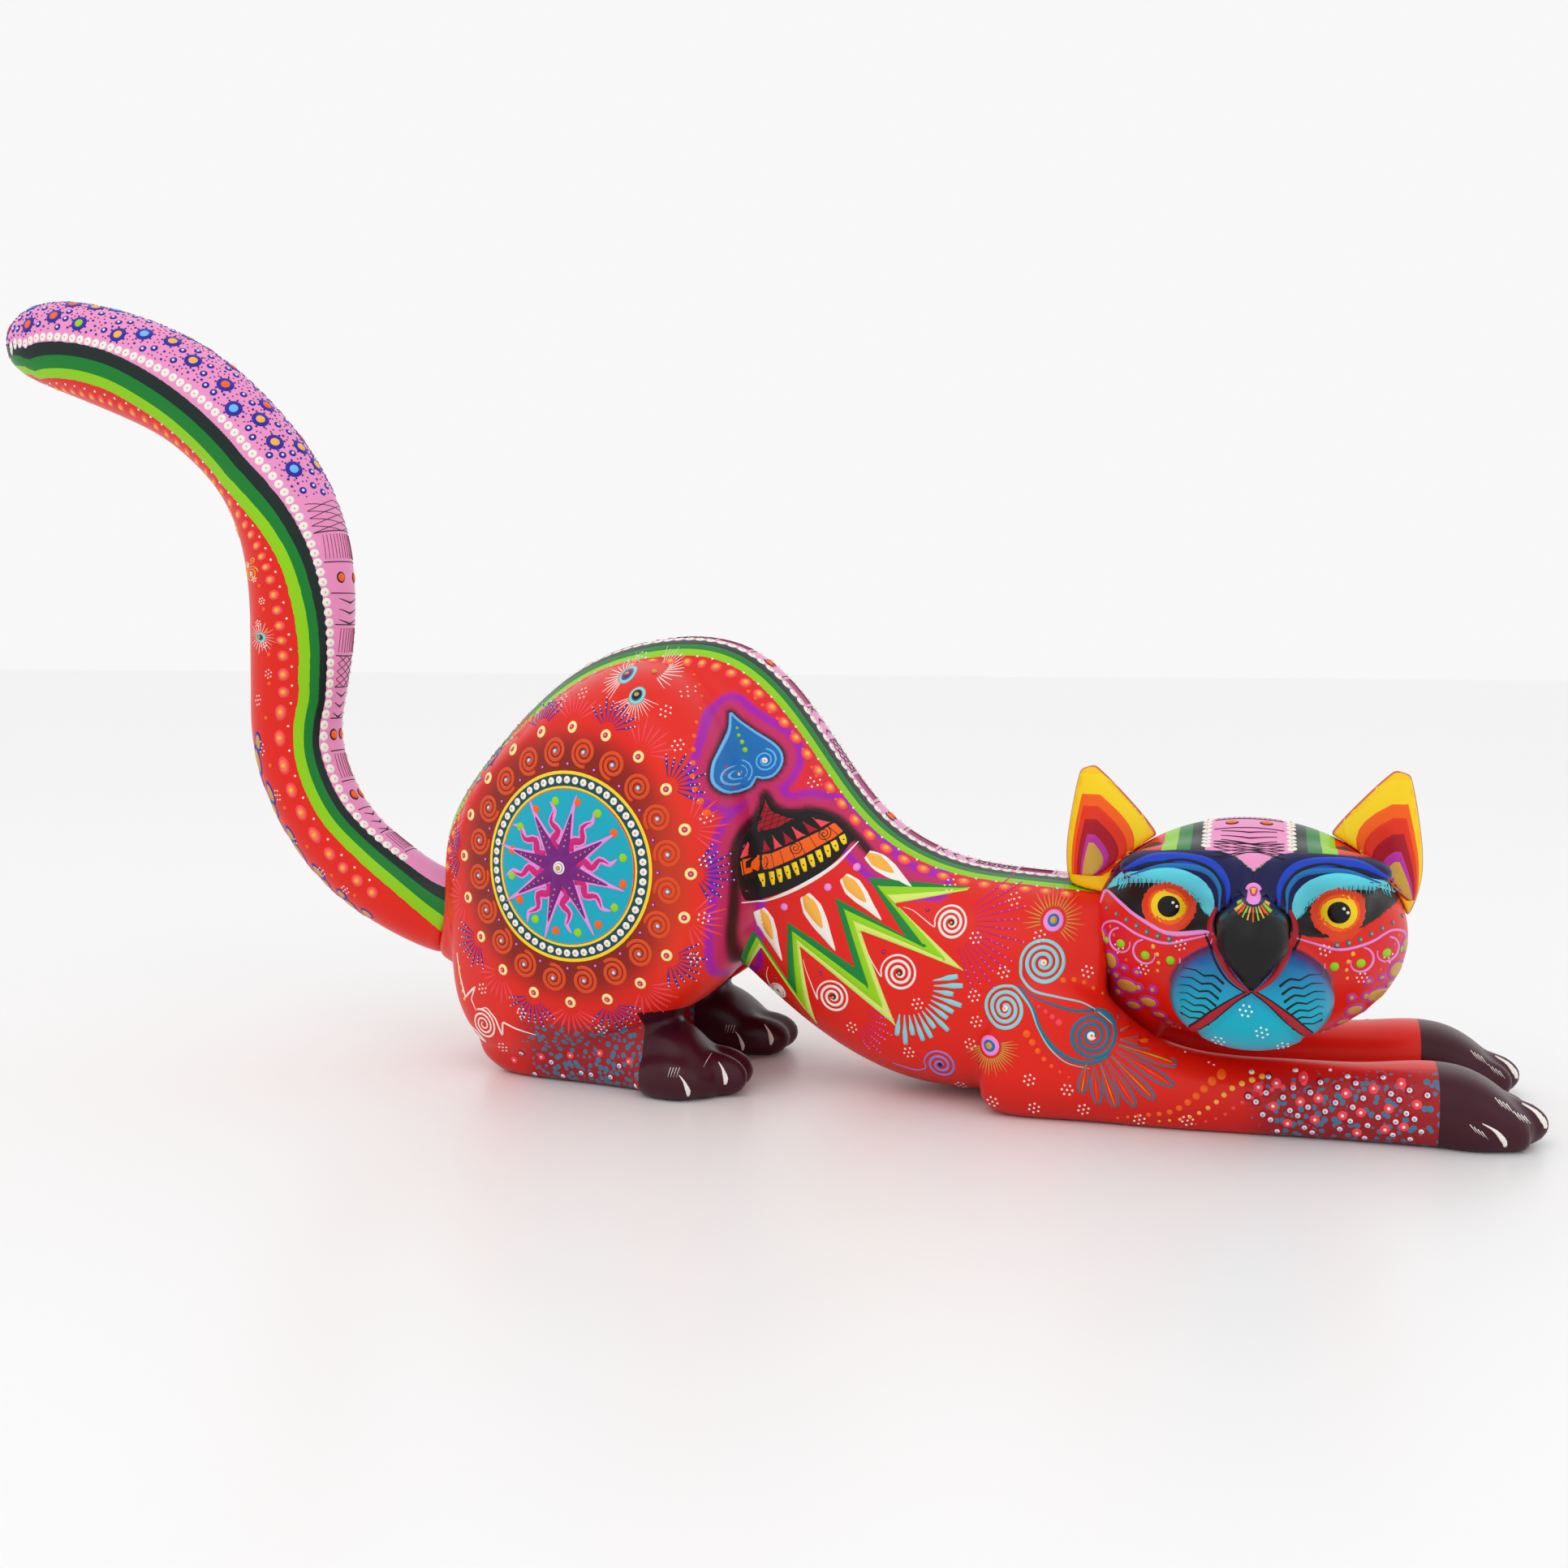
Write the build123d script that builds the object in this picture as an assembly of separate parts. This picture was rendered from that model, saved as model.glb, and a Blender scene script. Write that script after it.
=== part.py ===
"""Stretching-cat alebrije: a carved and painted copal wood figure, built up from doweled blocks.

The torso block carries two hind-leg slabs, two forelegs and a head, all on glued dowels.
The tail and the two ears plug in on pegs and pull out for packing.
Millimetres.  +X runs from rump to front paws, +Z is up, the cat's right side faces -Y.
The head is turned to the right, so its face looks along -Y.
"""

import math
import os

from build123d import *

# ---- Torso: half heights and half widths of the carved sections --------------------------------
CORE_WIDTH = 28.0          # thickness of wood left between the two hind-leg slabs
BACK_HEIGHT = 124.0        # floor to the top of the back
BACK_X = 2.0               # where the back is highest
CROUP_WIDTH = 50.0
LOIN_DEPTH = 88.0
WAIST_DEPTH = 69.0
WAIST_WIDTH = 52.0
CHEST_DEPTH = 60.0
CHEST_WIDTH = 66.0
NECK_DEPTH = 57.0
NECK_WIDTH = 58.0
NECK_SEAM_X = 116.0        # flat glue face between torso and head
CHEST_LIFT = 1.0           # daylight under the breast

# ---- Hind legs ----------------------------------------------------------------------------------
THIGH_X = -72.5            # rear edge of the thigh slabs
THIGH_LENGTH = 95.0
THIGH_HEIGHT = 112.0
THIGH_LIFT = 6.0           # underside of the thigh above the floor
THIGH_BULGE = 29.0         # how far a thigh stands out from the core plank
THIGH_TILT = 13.0          # degrees that the outer face falls away towards the rump
HEEL_X = -63.0
HIND_FOOT_LENGTH = 81.0
HIND_FOOT_HEIGHT = 20.0
HIND_FOOT_WIDTH = 21.0
HIND_FOOT_Y = 20.5         # middle of a hind foot from the centre plane
HIND_FOOT_SPLAY = 10.0      # degrees that the toes turn out

# ---- Forelegs -----------------------------------------------------------------------------------
ELBOW_X = 84.0
FORELEG_LENGTH = 138.0     # elbow to the root of the toes' tips
FORELEG_HEIGHT = 18.0
FORELEG_WIDTH = 24.0
FORELEG_Y = 25.5           # middle of a foreleg from the centre plane
SHOULDER_HEIGHT = 38.0

# ---- Toes ---------------------------------------------------------------------------------------
TOE_LENGTH = 22.0
TOE_HEIGHT = 13.0
TOE_WIDTH = 10.0

# ---- Head ---------------------------------------------------------------------------------------
HEAD_WIDTH = 80.0
HEAD_HEIGHT = 58.5
HEAD_DEPTH = 66.0
HEAD_BOTTOM = 19.5         # underside of the cheeks above the floor
HEAD_Y = -11.0             # middle of the skull
MUZZLE_WIDTH = 43.0
MUZZLE_HEIGHT = 30.0
MUZZLE_REACH = 18.0        # how far the muzzle stands out of the face
NOSE_WIDTH = 19.0
NOSE_HEIGHT = 24.0
EYE_SPACING = 41.0
EYE_RADIUS = 7.5
EYE_HEIGHT = 60.5

# ---- Ears ---------------------------------------------------------------------------------------
EAR_HEIGHT = 32.0
EAR_WIDTH = 27.0
EAR_THICKNESS = 12.0
EAR_LEAN = 17.0            # degrees that an ear leans outwards
EAR_SPACING = 61.0         # between the two ear roots
EAR_SHIFT = -2.0           # both ears stand a little towards the rump
EAR_Y = -10.0
EAR_ROOT_Z = 60.0
EAR_SCOOP = 2.2            # depth of the hollow in the front

# ---- Tail ---------------------------------------------------------------------------------------
TAIL_ROOT_X = -76.0
TAIL_ROOT_Z = 41.5
TAIL_RISE = 173.5          # root to the middle of the raised end
TAIL_REACH = 148.0         # root to the end, along -X
TAIL_THICKNESS = 32.0      # at the widest part of the curve
TAIL_ROOT_THICKNESS = 25.0
TAIL_FLATNESS = 0.92       # width across the tail over its depth
LAND_RIM = 0.8             # how far the land on the rump stands out round the tail's root
TAIL_PEG_SLOPE = 25.0      # degrees that the peg dips into the rump

# ---- Dowels and pegs ----------------------------------------------------------------------------
DOWEL_RADIUS = 3.0
HIND_DOWEL_LENGTH = 19.0
FORE_DOWEL_LENGTH = 16.0
NECK_DOWEL_RADIUS = 4.0
NECK_DOWEL_LENGTH = 34.0
TAIL_PEG_RADIUS = 5.0
TAIL_PEG_LENGTH = 40.0
EAR_PEG_RADIUS = 2.0
EAR_PEG_LENGTH = 16.0
GLUE_GAP = 0.1             # radial, around a glued dowel
SLIP_GAP = 0.06            # radial, around a peg that pulls out
END_GAP = 0.5              # past the end of a dowel in a blind hole
SEAT_GAP = 0.3             # between a removable piece and its seat

MOUTH = 4.0                # how far the drilling of a hole starts outside its seat
RING_POINTS = 12
HUGE = 600.0
RIGHT, LEFT = -1, 1        # the sign of Y on each side of the cat


# ---- Small shape tools --------------------------------------------------------------------------
def superellipse(half_width, half_height, squareness):
    """Closed smooth face: 2 gives an ellipse and more gives a rounder rectangle."""
    points = []
    for k in range(RING_POINTS):
        angle = 2 * math.pi * (k + 0.5) / RING_POINTS
        across, up = math.cos(angle), math.sin(angle)
        reach = (abs(across) ** squareness + abs(up) ** squareness) ** (-1 / squareness)
        points.append((half_width * across * reach, half_height * up * reach))
    return make_face(Spline(points, periodic=True))


def ring(x, z, heading, half_height, half_width, y=0.0, squareness=2.0):
    """Section of a limb at (x, y, z); heading is its direction above +X in degrees."""
    turn = math.radians(heading)
    plane = Plane(origin=(x, y, z), x_dir=(0, 1, 0), z_dir=(math.cos(turn), 0, math.sin(turn)))
    return plane * superellipse(half_width, half_height, squareness)


def ellipsoid(x, y, z, length, width, height):
    return Pos(x, y, z) * scale(Sphere(1), by=(length / 2, width / 2, height / 2))


def rod(start, direction, length, radius):
    """Cylinder from start along direction."""
    plane = Plane(origin=start, z_dir=direction)
    return plane * Cylinder(radius, length, align=(Align.CENTER, Align.CENTER, Align.MIN))


def centred_rod(middle, direction, length, radius):
    return Plane(origin=middle, z_dir=direction) * Cylinder(radius, length)


def above_floor(shape):
    """Cuts a shape flat at the floor, so that it gets a true sole."""
    return shape - Pos(0, 0, -HUGE / 2) * Box(HUGE, HUGE, HUGE)


def mirrored(shape):
    return mirror(shape, about=Plane.XZ)


# ---- Torso --------------------------------------------------------------------------------------
def between(top, bottom, half_width):
    """Section of the torso from its (x, z) on the back to its (x, z) on the belly."""
    lean, depth = top[0] - bottom[0], top[1] - bottom[1]
    heading = -math.degrees(math.atan2(lean, depth))
    middle_x, middle_z = (top[0] + bottom[0]) / 2, (top[1] + bottom[1]) / 2
    return ring(middle_x, middle_z, heading, math.hypot(lean, depth) / 2, half_width, 0, 2.5)


def torso_rings():
    """Sections from the tail's seat, over the croup, the waist and the breast, to the neck seam."""
    back, belly = BACK_HEIGHT, CHEST_LIFT
    waist, chest, croup = WAIST_WIDTH / 2, CHEST_WIDTH / 2, CROUP_WIDTH / 2
    seat, up = tail_seat(), Vector(math.sin(math.radians(TAIL_PEG_SLOPE)), 0, math.cos(math.radians(TAIL_PEG_SLOPE)))
    land = TAIL_ROOT_THICKNESS / 2 + LAND_RIM
    high, low = seat + up * land, seat - up * land
    return [
        between((high.X, high.Z), (low.X, low.Z), land * TAIL_FLATNESS),
        between((TAIL_ROOT_X + 1.5, back - 50), (TAIL_ROOT_X + 12, 21), croup - 6),
        between((TAIL_ROOT_X + 14, back - 32), (TAIL_ROOT_X + 28, 16), croup - 2),
        between((BACK_X - 44, back - 12.5), (BACK_X - 35, 17), croup),
        between((BACK_X - 18, back - 1), (BACK_X - 15, back - LOIN_DEPTH - 11), waist),
        between((BACK_X + 10, back - 2.5), (BACK_X, back - LOIN_DEPTH), waist),
        between((BACK_X + 34, back - 26.5), (BACK_X + 17, back - 28 - WAIST_DEPTH), waist),
        between((BACK_X + 52, back - 49.5), (BACK_X + 37, belly + 11), waist + 1),
        between((BACK_X + 71, belly + CHEST_DEPTH + 3), (BACK_X + 60, belly + 1.5), chest - 3),
        between((BACK_X + 88, belly + CHEST_DEPTH), (BACK_X + 84, belly), chest),
        between((NECK_SEAM_X - 12, belly + NECK_DEPTH + 2), (NECK_SEAM_X - 13, belly + 1), NECK_WIDTH / 2 + 3),
        between((NECK_SEAM_X, belly + NECK_DEPTH + 2), (NECK_SEAM_X, belly + 2), NECK_WIDTH / 2),
    ]


def tail_axis():
    """Unit vector from the tail's root out of the rump."""
    slope = math.radians(TAIL_PEG_SLOPE)
    return Vector(-math.cos(slope), 0, math.sin(slope))


def tail_seat():
    """Middle of the flat land on the rump that the tail stands against."""
    return Vector(TAIL_ROOT_X, 0, TAIL_ROOT_Z)


# ---- Hind legs ----------------------------------------------------------------------------------
def thigh_outline(size):
    """Edge of a thigh slab, as (x, z) about its middle, shrunk to size."""
    half_l, half_h = THIGH_LENGTH / 2, THIGH_HEIGHT / 2
    shape = [
        (-1.00, -0.40), (-0.98, 0.00), (-0.87, 0.32), (-0.58, 0.62), (-0.24, 0.86), (0.12, 1.00),
        (0.50, 0.97), (0.76, 0.78), (0.91, 0.48), (1.00, 0.12), (0.98, -0.24), (0.82, -0.52),
        (0.50, -0.73), (0.10, -0.88), (-0.34, -0.99), (-0.74, -0.98), (-0.95, -0.76),
    ]
    return [(half_l * x * size, half_h * z * size) for x, z in shape]


def thigh():
    """Slab with a domed outer face, built on the cat's right side."""
    middle_x = THIGH_X + THIGH_LENGTH / 2
    middle_z = THIGH_LIFT + THIGH_HEIGHT / 2
    faces = []
    for out, size, tilt in (
        (0, 1.0, 0), (0.22, 0.985, 0.15), (0.50, 0.94, 0.5), (0.75, 0.83, 0.85), (0.92, 0.64, 1), (1, 0.36, 1),
    ):
        turn = math.radians(THIGH_TILT * tilt)
        y = -(CORE_WIDTH / 2 + THIGH_BULGE * out)
        plane = Plane(
            origin=(middle_x + 3 * out, y, middle_z - 3 * out),
            x_dir=(math.cos(turn), -math.sin(turn), 0),
            z_dir=(-math.sin(turn), -math.cos(turn), 0),
        )
        faces.append(plane * make_face(Spline(thigh_outline(size), periodic=True)))
    return loft(faces)


def toes(tip_x, y, lengths, splay):
    """Three toes side by side; lengths says how far each stands back from the longest."""
    made = []
    for k, back in enumerate(lengths):
        side = (k - 1) * (TOE_WIDTH - 1.6)
        x = tip_x - back - TOE_LENGTH / 2
        toe = ellipsoid(x, y - side * 1.0, TOE_HEIGHT / 2 - 1.2, TOE_LENGTH, TOE_WIDTH, TOE_HEIGHT)
        made.append(toe.rotate(Axis((x, y, 0), (0, 0, 1)), -splay))
    return made


def hind_foot():
    """Shank and foot that lie along the floor, on the cat's right side."""
    heel_x, height, half_w = HEEL_X, HIND_FOOT_HEIGHT, HIND_FOOT_WIDTH / 2
    slope = math.tan(math.radians(HIND_FOOT_SPLAY))
    rings = []
    for along, low, tall, wide in (
        (0.00, 5.0, 0.70, 0.50), (0.07, 1.0, 0.95, 0.78), (0.18, -1.5, 1.05, 0.90), (0.40, -1.5, 1.02, 0.94),
        (0.62, -1.5, 0.95, 0.95), (0.78, -1.5, 1.00, 1.05), (0.90, -1.5, 0.80, 1.05), (1.00, -1.5, 0.45, 0.85),
    ):
        x = heel_x + along * HIND_FOOT_LENGTH * 0.93
        y = -(HIND_FOOT_Y + (along - 0.5) * HIND_FOOT_LENGTH * slope)
        high = height * tall
        rings.append(ring(x, (high + low) / 2, 0, (high - low) / 2, half_w * wide, y, 2.6))
    tip_x = heel_x + HIND_FOOT_LENGTH + 3
    tip_y = -(HIND_FOOT_Y + 0.5 * HIND_FOOT_LENGTH * slope)
    foot = loft(rings)
    for toe in toes(tip_x, tip_y, (2.0, 0.0, 9.0), HIND_FOOT_SPLAY):
        foot += toe
    return foot


def right_hind_leg():
    """One carved piece whose inner face is flat where the core plank is glued to it."""
    return above_floor(thigh() + hind_foot())


# ---- Forelegs -----------------------------------------------------------------------------------
def right_foreleg():
    """Arm from the elbow to the toes, one carved piece with a flat sole."""
    tall, half_w = FORELEG_HEIGHT, FORELEG_WIDTH / 2
    rings = []
    for along, low, high, wide in (
        (0.000, 4.0, SHOULDER_HEIGHT * 0.50, 0.70),
        (0.025, 0.5, SHOULDER_HEIGHT * 0.78, 0.90),
        (0.090, -1.5, SHOULDER_HEIGHT, 1.00),
        (0.190, -1.5, SHOULDER_HEIGHT * 0.97, 1.02),
        (0.300, -1.5, SHOULDER_HEIGHT * 0.64, 1.00),
        (0.420, -1.5, tall * 1.02, 0.98),
        (0.580, -1.5, tall * 0.98, 0.96),
        (0.730, -1.5, tall * 1.00, 1.00),
        (0.830, -1.5, tall * 1.06, 1.08),
        (0.900, -1.5, tall * 0.98, 1.08),
        (0.955, -1.5, tall * 0.74, 1.00),
        (1.000, -1.5, tall * 0.45, 0.80),
    ):
        x = ELBOW_X + along * FORELEG_LENGTH * 0.98
        rings.append(ring(x, (low + high) / 2, 0, (high - low) / 2, half_w * wide, -FORELEG_Y, 2.7))
    arm = loft(rings)
    for toe in toes(ELBOW_X + FORELEG_LENGTH + 3, -FORELEG_Y, (3.0, 0.0, 8.0), 0):
        arm += toe
    return above_floor(arm)


# ---- Head ---------------------------------------------------------------------------------------
def head_x():
    """The skull stands in the seam plane far enough for the neck to hide its flat."""
    return NECK_SEAM_X + HEAD_WIDTH / 2 - 5


def skull():
    middle_z = HEAD_BOTTOM + HEAD_HEIGHT / 2
    shape = ellipsoid(head_x(), HEAD_Y, middle_z, HEAD_WIDTH, HEAD_DEPTH, HEAD_HEIGHT)
    neck_z = CHEST_LIFT + 2.0 + NECK_DEPTH / 2
    neck = [
        ring(NECK_SEAM_X - 2, neck_z, 0, NECK_DEPTH / 2, NECK_WIDTH / 2),
        ring(NECK_SEAM_X + 7, neck_z + 3, 0, NECK_DEPTH / 2 - 4, NECK_WIDTH / 2 - 1, -1),
        ring(NECK_SEAM_X + 18, neck_z + 9, 0, NECK_DEPTH / 2 - 13, NECK_WIDTH / 2 - 5, -3),
    ]
    return shape + loft(neck)


def face_y(across, up):
    """Y of the skull's front at a place measured from its middle."""
    rest = 1 - (across / (HEAD_WIDTH / 2)) ** 2 - (up / (HEAD_HEIGHT / 2)) ** 2
    return HEAD_Y - HEAD_DEPTH / 2 * math.sqrt(max(rest, 0.0))


def carved_face(shape):
    """Muzzle, nose, brows and the eyes in their sockets."""
    middle_x = head_x()
    middle_z = HEAD_BOTTOM + HEAD_HEIGHT / 2
    muzzle_z = middle_z - 5.0
    muzzle_front = HEAD_Y - HEAD_DEPTH / 2 - MUZZLE_REACH
    muzzle_depth = 2 * MUZZLE_REACH + 4
    shape += ellipsoid(
        middle_x, muzzle_front + muzzle_depth / 2, muzzle_z, MUZZLE_WIDTH, muzzle_depth, MUZZLE_HEIGHT
    )
    nose_y = muzzle_front + 9.0
    shape += ellipsoid(middle_x, nose_y, muzzle_z + 10, NOSE_WIDTH, 22, NOSE_HEIGHT)
    for side in (-1, 1):
        x = middle_x + side * EYE_SPACING / 2
        lid_y = face_y(EYE_SPACING / 2, EYE_HEIGHT - middle_z)
        shape += ellipsoid(x - side * 1.5, lid_y + 5, EYE_HEIGHT + 8.5, 35, 20, 15)
        shape -= ellipsoid(x + side * 1.5, lid_y - 5, EYE_HEIGHT - 0.5, 31, 15, 2 * EYE_RADIUS + 1)
        shape += Pos(x, lid_y + EYE_RADIUS - 2.5, EYE_HEIGHT) * Sphere(EYE_RADIUS)
    return shape


# ---- Ears ---------------------------------------------------------------------------------------
def ear_axis(side):
    lean = math.radians(EAR_LEAN)
    return Vector(side * math.sin(lean), 0, math.cos(lean))


def ear_root(side):
    return Vector(head_x() + EAR_SHIFT + side * EAR_SPACING / 2, EAR_Y, EAR_ROOT_Z)


def ear_seat(side):
    """Where the axis of the ear comes out of the skull."""
    radii = Vector(HEAD_WIDTH / 2, HEAD_DEPTH / 2, HEAD_HEIGHT / 2)
    away = ear_root(side) - Vector(head_x(), HEAD_Y, HEAD_BOTTOM + HEAD_HEIGHT / 2)
    axis = ear_axis(side)
    start = Vector(away.X / radii.X, away.Y / radii.Y, away.Z / radii.Z)
    step = Vector(axis.X / radii.X, axis.Y / radii.Y, axis.Z / radii.Z)
    a, b, c = step.dot(step), 2 * start.dot(step), start.dot(start) - 1
    return ear_root(side) + axis * ((-b + math.sqrt(b * b - 4 * a * c)) / (2 * a))


def ear(side):
    """Pointed shell with a scooped front; side is -1 for the ear nearer the rump."""
    axis, root = ear_axis(side), ear_root(side)
    rings = []
    for up, wide, thick in (
        (-0.20, 0.92, 1.0), (0.10, 1.0, 1.0), (0.35, 0.90, 0.88), (0.60, 0.66, 0.72), (0.82, 0.40, 0.55), (1.0, 0.15, 0.36),
    ):
        at = root + axis * (EAR_HEIGHT * up)
        plane = Plane(origin=at, x_dir=(axis.Z, 0, -axis.X), z_dir=axis)
        rings.append(plane * superellipse(EAR_WIDTH / 2 * wide, EAR_THICKNESS / 2 * thick, 2.0))
    shell = loft(rings)
    scoop_at = root + axis * (EAR_HEIGHT * 0.30) + Vector(0, -EAR_THICKNESS / 2 - 3, 0)
    plane = Plane(origin=scoop_at, x_dir=(axis.Z, 0, -axis.X), z_dir=axis)
    scoop = scale(Sphere(1), by=(EAR_WIDTH * 0.34, EAR_SCOOP + 3, EAR_HEIGHT * 0.52))
    return shell - plane * scoop


# ---- Tail ---------------------------------------------------------------------------------------
def tail():
    """One bent piece, from its flat root to the rounded raised end."""
    seat = tail_seat() + tail_axis() * SEAT_GAP
    root_t, full_t = TAIL_ROOT_THICKNESS, TAIL_THICKNESS
    rings = [ring(seat.X, seat.Z, 180 - TAIL_PEG_SLOPE, root_t / 2, root_t / 2 * TAIL_FLATNESS)]
    for back, rise, heading, swell in (
        (0.122, 0.037, 154, 0.00), (0.211, 0.086, 141, 0.10), (0.291, 0.158, 124, 0.10),
        (0.342, 0.245, 104, 0.20), (0.358, 0.317, 92, 0.30), (0.350, 0.403, 85, 0.60),
        (0.341, 0.490, 86, 0.86), (0.341, 0.576, 90, 0.98), (0.357, 0.657, 97, 0.98),
        (0.389, 0.725, 106, 0.88), (0.444, 0.792, 116, 0.80), (0.512, 0.850, 127, 0.78),
        (0.611, 0.910, 144, 0.80), (0.740, 0.958, 158, 0.74), (0.870, 0.990, 169, 0.30),
    ):
        half = (root_t + (full_t - root_t) * swell) / 2
        x, z = seat.X - back * TAIL_REACH, seat.Z + rise * TAIL_RISE
        rings.append(ring(x, z, heading, half, half * TAIL_FLATNESS))
    for back, share in ((0.965, 0.72), (0.995, 0.22)):
        half = root_t / 2 * share
        x, z = seat.X - back * TAIL_REACH, seat.Z + TAIL_RISE
        rings.append(ring(x, z, 172, half, half * TAIL_FLATNESS))
    return loft(rings)


# ---- Dowels -------------------------------------------------------------------------------------
def hind_dowel_places(side):
    y = side * CORE_WIDTH / 2
    return {
        "upper": Vector(THIGH_X + 0.46 * THIGH_LENGTH, y, THIGH_LIFT + 0.62 * THIGH_HEIGHT),
        "lower": Vector(THIGH_X + 0.40 * THIGH_LENGTH, y, THIGH_LIFT + 0.28 * THIGH_HEIGHT),
    }


def fore_dowel_places(side):
    y = side * (FORELEG_Y - FORELEG_WIDTH / 2)
    return {
        "rear": Vector(ELBOW_X + 0.06 * FORELEG_LENGTH, y, SHOULDER_HEIGHT * 0.58),
        "front": Vector(ELBOW_X + 0.19 * FORELEG_LENGTH, y, SHOULDER_HEIGHT * 0.30),
    }


def neck_dowel_places():
    middle_z = CHEST_LIFT + 2.0 + NECK_DEPTH / 2
    return {
        "upper": Vector(NECK_SEAM_X, -3, middle_z + 0.22 * NECK_DEPTH),
        "lower": Vector(NECK_SEAM_X, -3, middle_z - 0.12 * NECK_DEPTH),
    }


def glued_dowels():
    """Name to (middle, direction, length, radius) of every dowel that is glued at both ends."""
    found = {}
    for side, word in ((RIGHT, "right"), (LEFT, "left")):
        for place, at in hind_dowel_places(side).items():
            found[f"{word}_hind_leg_dowel_{place}"] = (at, (0, 1, 0), HIND_DOWEL_LENGTH, DOWEL_RADIUS)
        for place, at in fore_dowel_places(side).items():
            found[f"{word}_foreleg_dowel_{place}"] = (at, (0, 1, 0), FORE_DOWEL_LENGTH, DOWEL_RADIUS)
    for place, at in neck_dowel_places().items():
        found[f"neck_dowel_{place}"] = (at, (1, 0, 0), NECK_DOWEL_LENGTH, NECK_DOWEL_RADIUS)
    return found


def peg(root, axis, length, radius):
    """Peg with half of its length each side of root; its far half is glued."""
    return centred_rod(root, axis, length, radius)


def socket(root, axis, length, radius):
    """Blind hole for the half of a peg that slides in."""
    reach = length / 2 + END_GAP
    return rod(root + axis * MOUTH, -axis, reach + MOUTH, radius + SLIP_GAP)


def glue_hole(root, axis, length, radius):
    reach = length / 2 + END_GAP
    return rod(root - axis * MOUTH, axis, reach + MOUTH, radius + GLUE_GAP)


# ---- Assembly -----------------------------------------------------------------------------------
def build():
    """Name to solid for every node, in the design frame."""
    right_hind, right_fore = right_hind_leg(), right_foreleg()
    left_hind, left_fore = mirrored(right_hind), mirrored(right_fore)
    behind_seam = Pos(NECK_SEAM_X - HUGE / 2, 0, 0) * Box(HUGE, HUGE, HUGE)

    head = carved_face(skull()) - behind_seam
    for limb in (right_fore, left_fore):
        head -= limb
    torso = loft(torso_rings())
    for limb in (right_hind, left_hind, right_fore, left_fore):
        torso -= limb

    seat, out = tail_seat(), tail_axis()
    parts = {
        "torso": torso, "head": head, "right_hind_leg": right_hind, "left_hind_leg": left_hind,
        "right_foreleg": right_fore, "left_foreleg": left_fore,
    }
    for name, (at, direction, length, radius) in glued_dowels().items():
        hole = centred_rod(at, direction, length + 2 * END_GAP, radius + GLUE_GAP)
        blocks = ["torso", "head"] if name.startswith("neck") else ["torso", name.split("_dowel")[0]]
        for block in blocks:
            parts[block] -= hole
        parts[name] = centred_rod(at, direction, length, radius)

    parts["torso"] -= socket(seat, out, TAIL_PEG_LENGTH, TAIL_PEG_RADIUS)
    parts["tail"] = tail() - glue_hole(seat, out, TAIL_PEG_LENGTH, TAIL_PEG_RADIUS)
    parts["tail_peg"] = peg(seat, out, TAIL_PEG_LENGTH, TAIL_PEG_RADIUS)

    neck_and_head = parts["head"] + parts["torso"]
    for side, word in ((-1, "right"), (1, "left")):
        seat, axis = ear_seat(side), ear_axis(side)
        seated = ear(side) - Pos(*(axis * SEAT_GAP)) * neck_and_head
        seated = max(seated.solids(), key=lambda solid: solid.volume)
        parts[f"{word}_ear"] = seated - glue_hole(seat, axis, EAR_PEG_LENGTH, EAR_PEG_RADIUS)
        parts["head"] -= socket(seat, axis, EAR_PEG_LENGTH, EAR_PEG_RADIUS)
        parts[f"{word}_ear_peg"] = peg(seat, axis, EAR_PEG_LENGTH, EAR_PEG_RADIUS)
    return parts


def to_origin(parts):
    """Centres the figure over the origin; its soles already stand on the floor at Z = 0."""
    box = Compound(children=[Compound(p.solids()) for p in parts.values()]).bounding_box()
    shift = Pos(-(box.min.X + box.max.X) / 2, -(box.min.Y + box.max.Y) / 2, 0)
    return {name: shift * part for name, part in parts.items()}


def main():
    os.makedirs("parts", exist_ok=True)
    for name, part in to_origin(build()).items():
        export_step(part, f"parts/{name}.step")


main()
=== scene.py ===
import bpy, bmesh, math, openvdb, random
import numpy as np
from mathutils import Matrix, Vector
from mathutils.bvhtree import BVHTree
from mathutils.geometry import delaunay_2d_cdt


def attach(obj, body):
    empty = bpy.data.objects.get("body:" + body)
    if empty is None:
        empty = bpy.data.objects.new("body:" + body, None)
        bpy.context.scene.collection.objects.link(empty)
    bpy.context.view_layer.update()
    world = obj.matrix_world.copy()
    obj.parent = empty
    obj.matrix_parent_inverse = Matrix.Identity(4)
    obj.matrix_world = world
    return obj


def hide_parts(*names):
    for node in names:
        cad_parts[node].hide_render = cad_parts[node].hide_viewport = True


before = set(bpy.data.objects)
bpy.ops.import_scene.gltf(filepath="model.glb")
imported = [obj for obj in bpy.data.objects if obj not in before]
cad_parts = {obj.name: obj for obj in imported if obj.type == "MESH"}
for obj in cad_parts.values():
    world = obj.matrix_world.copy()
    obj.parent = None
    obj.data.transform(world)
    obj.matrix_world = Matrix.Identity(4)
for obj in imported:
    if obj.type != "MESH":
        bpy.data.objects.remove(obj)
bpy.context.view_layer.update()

# ======== Body: torso and four legs ========
# Copal wood blocks, glued on dowels, filled at the seams, gessoed and painted as one piece.
# The skin is taken from the blocks, with the seams and the corners sanded round.

MM = 0.001


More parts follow.
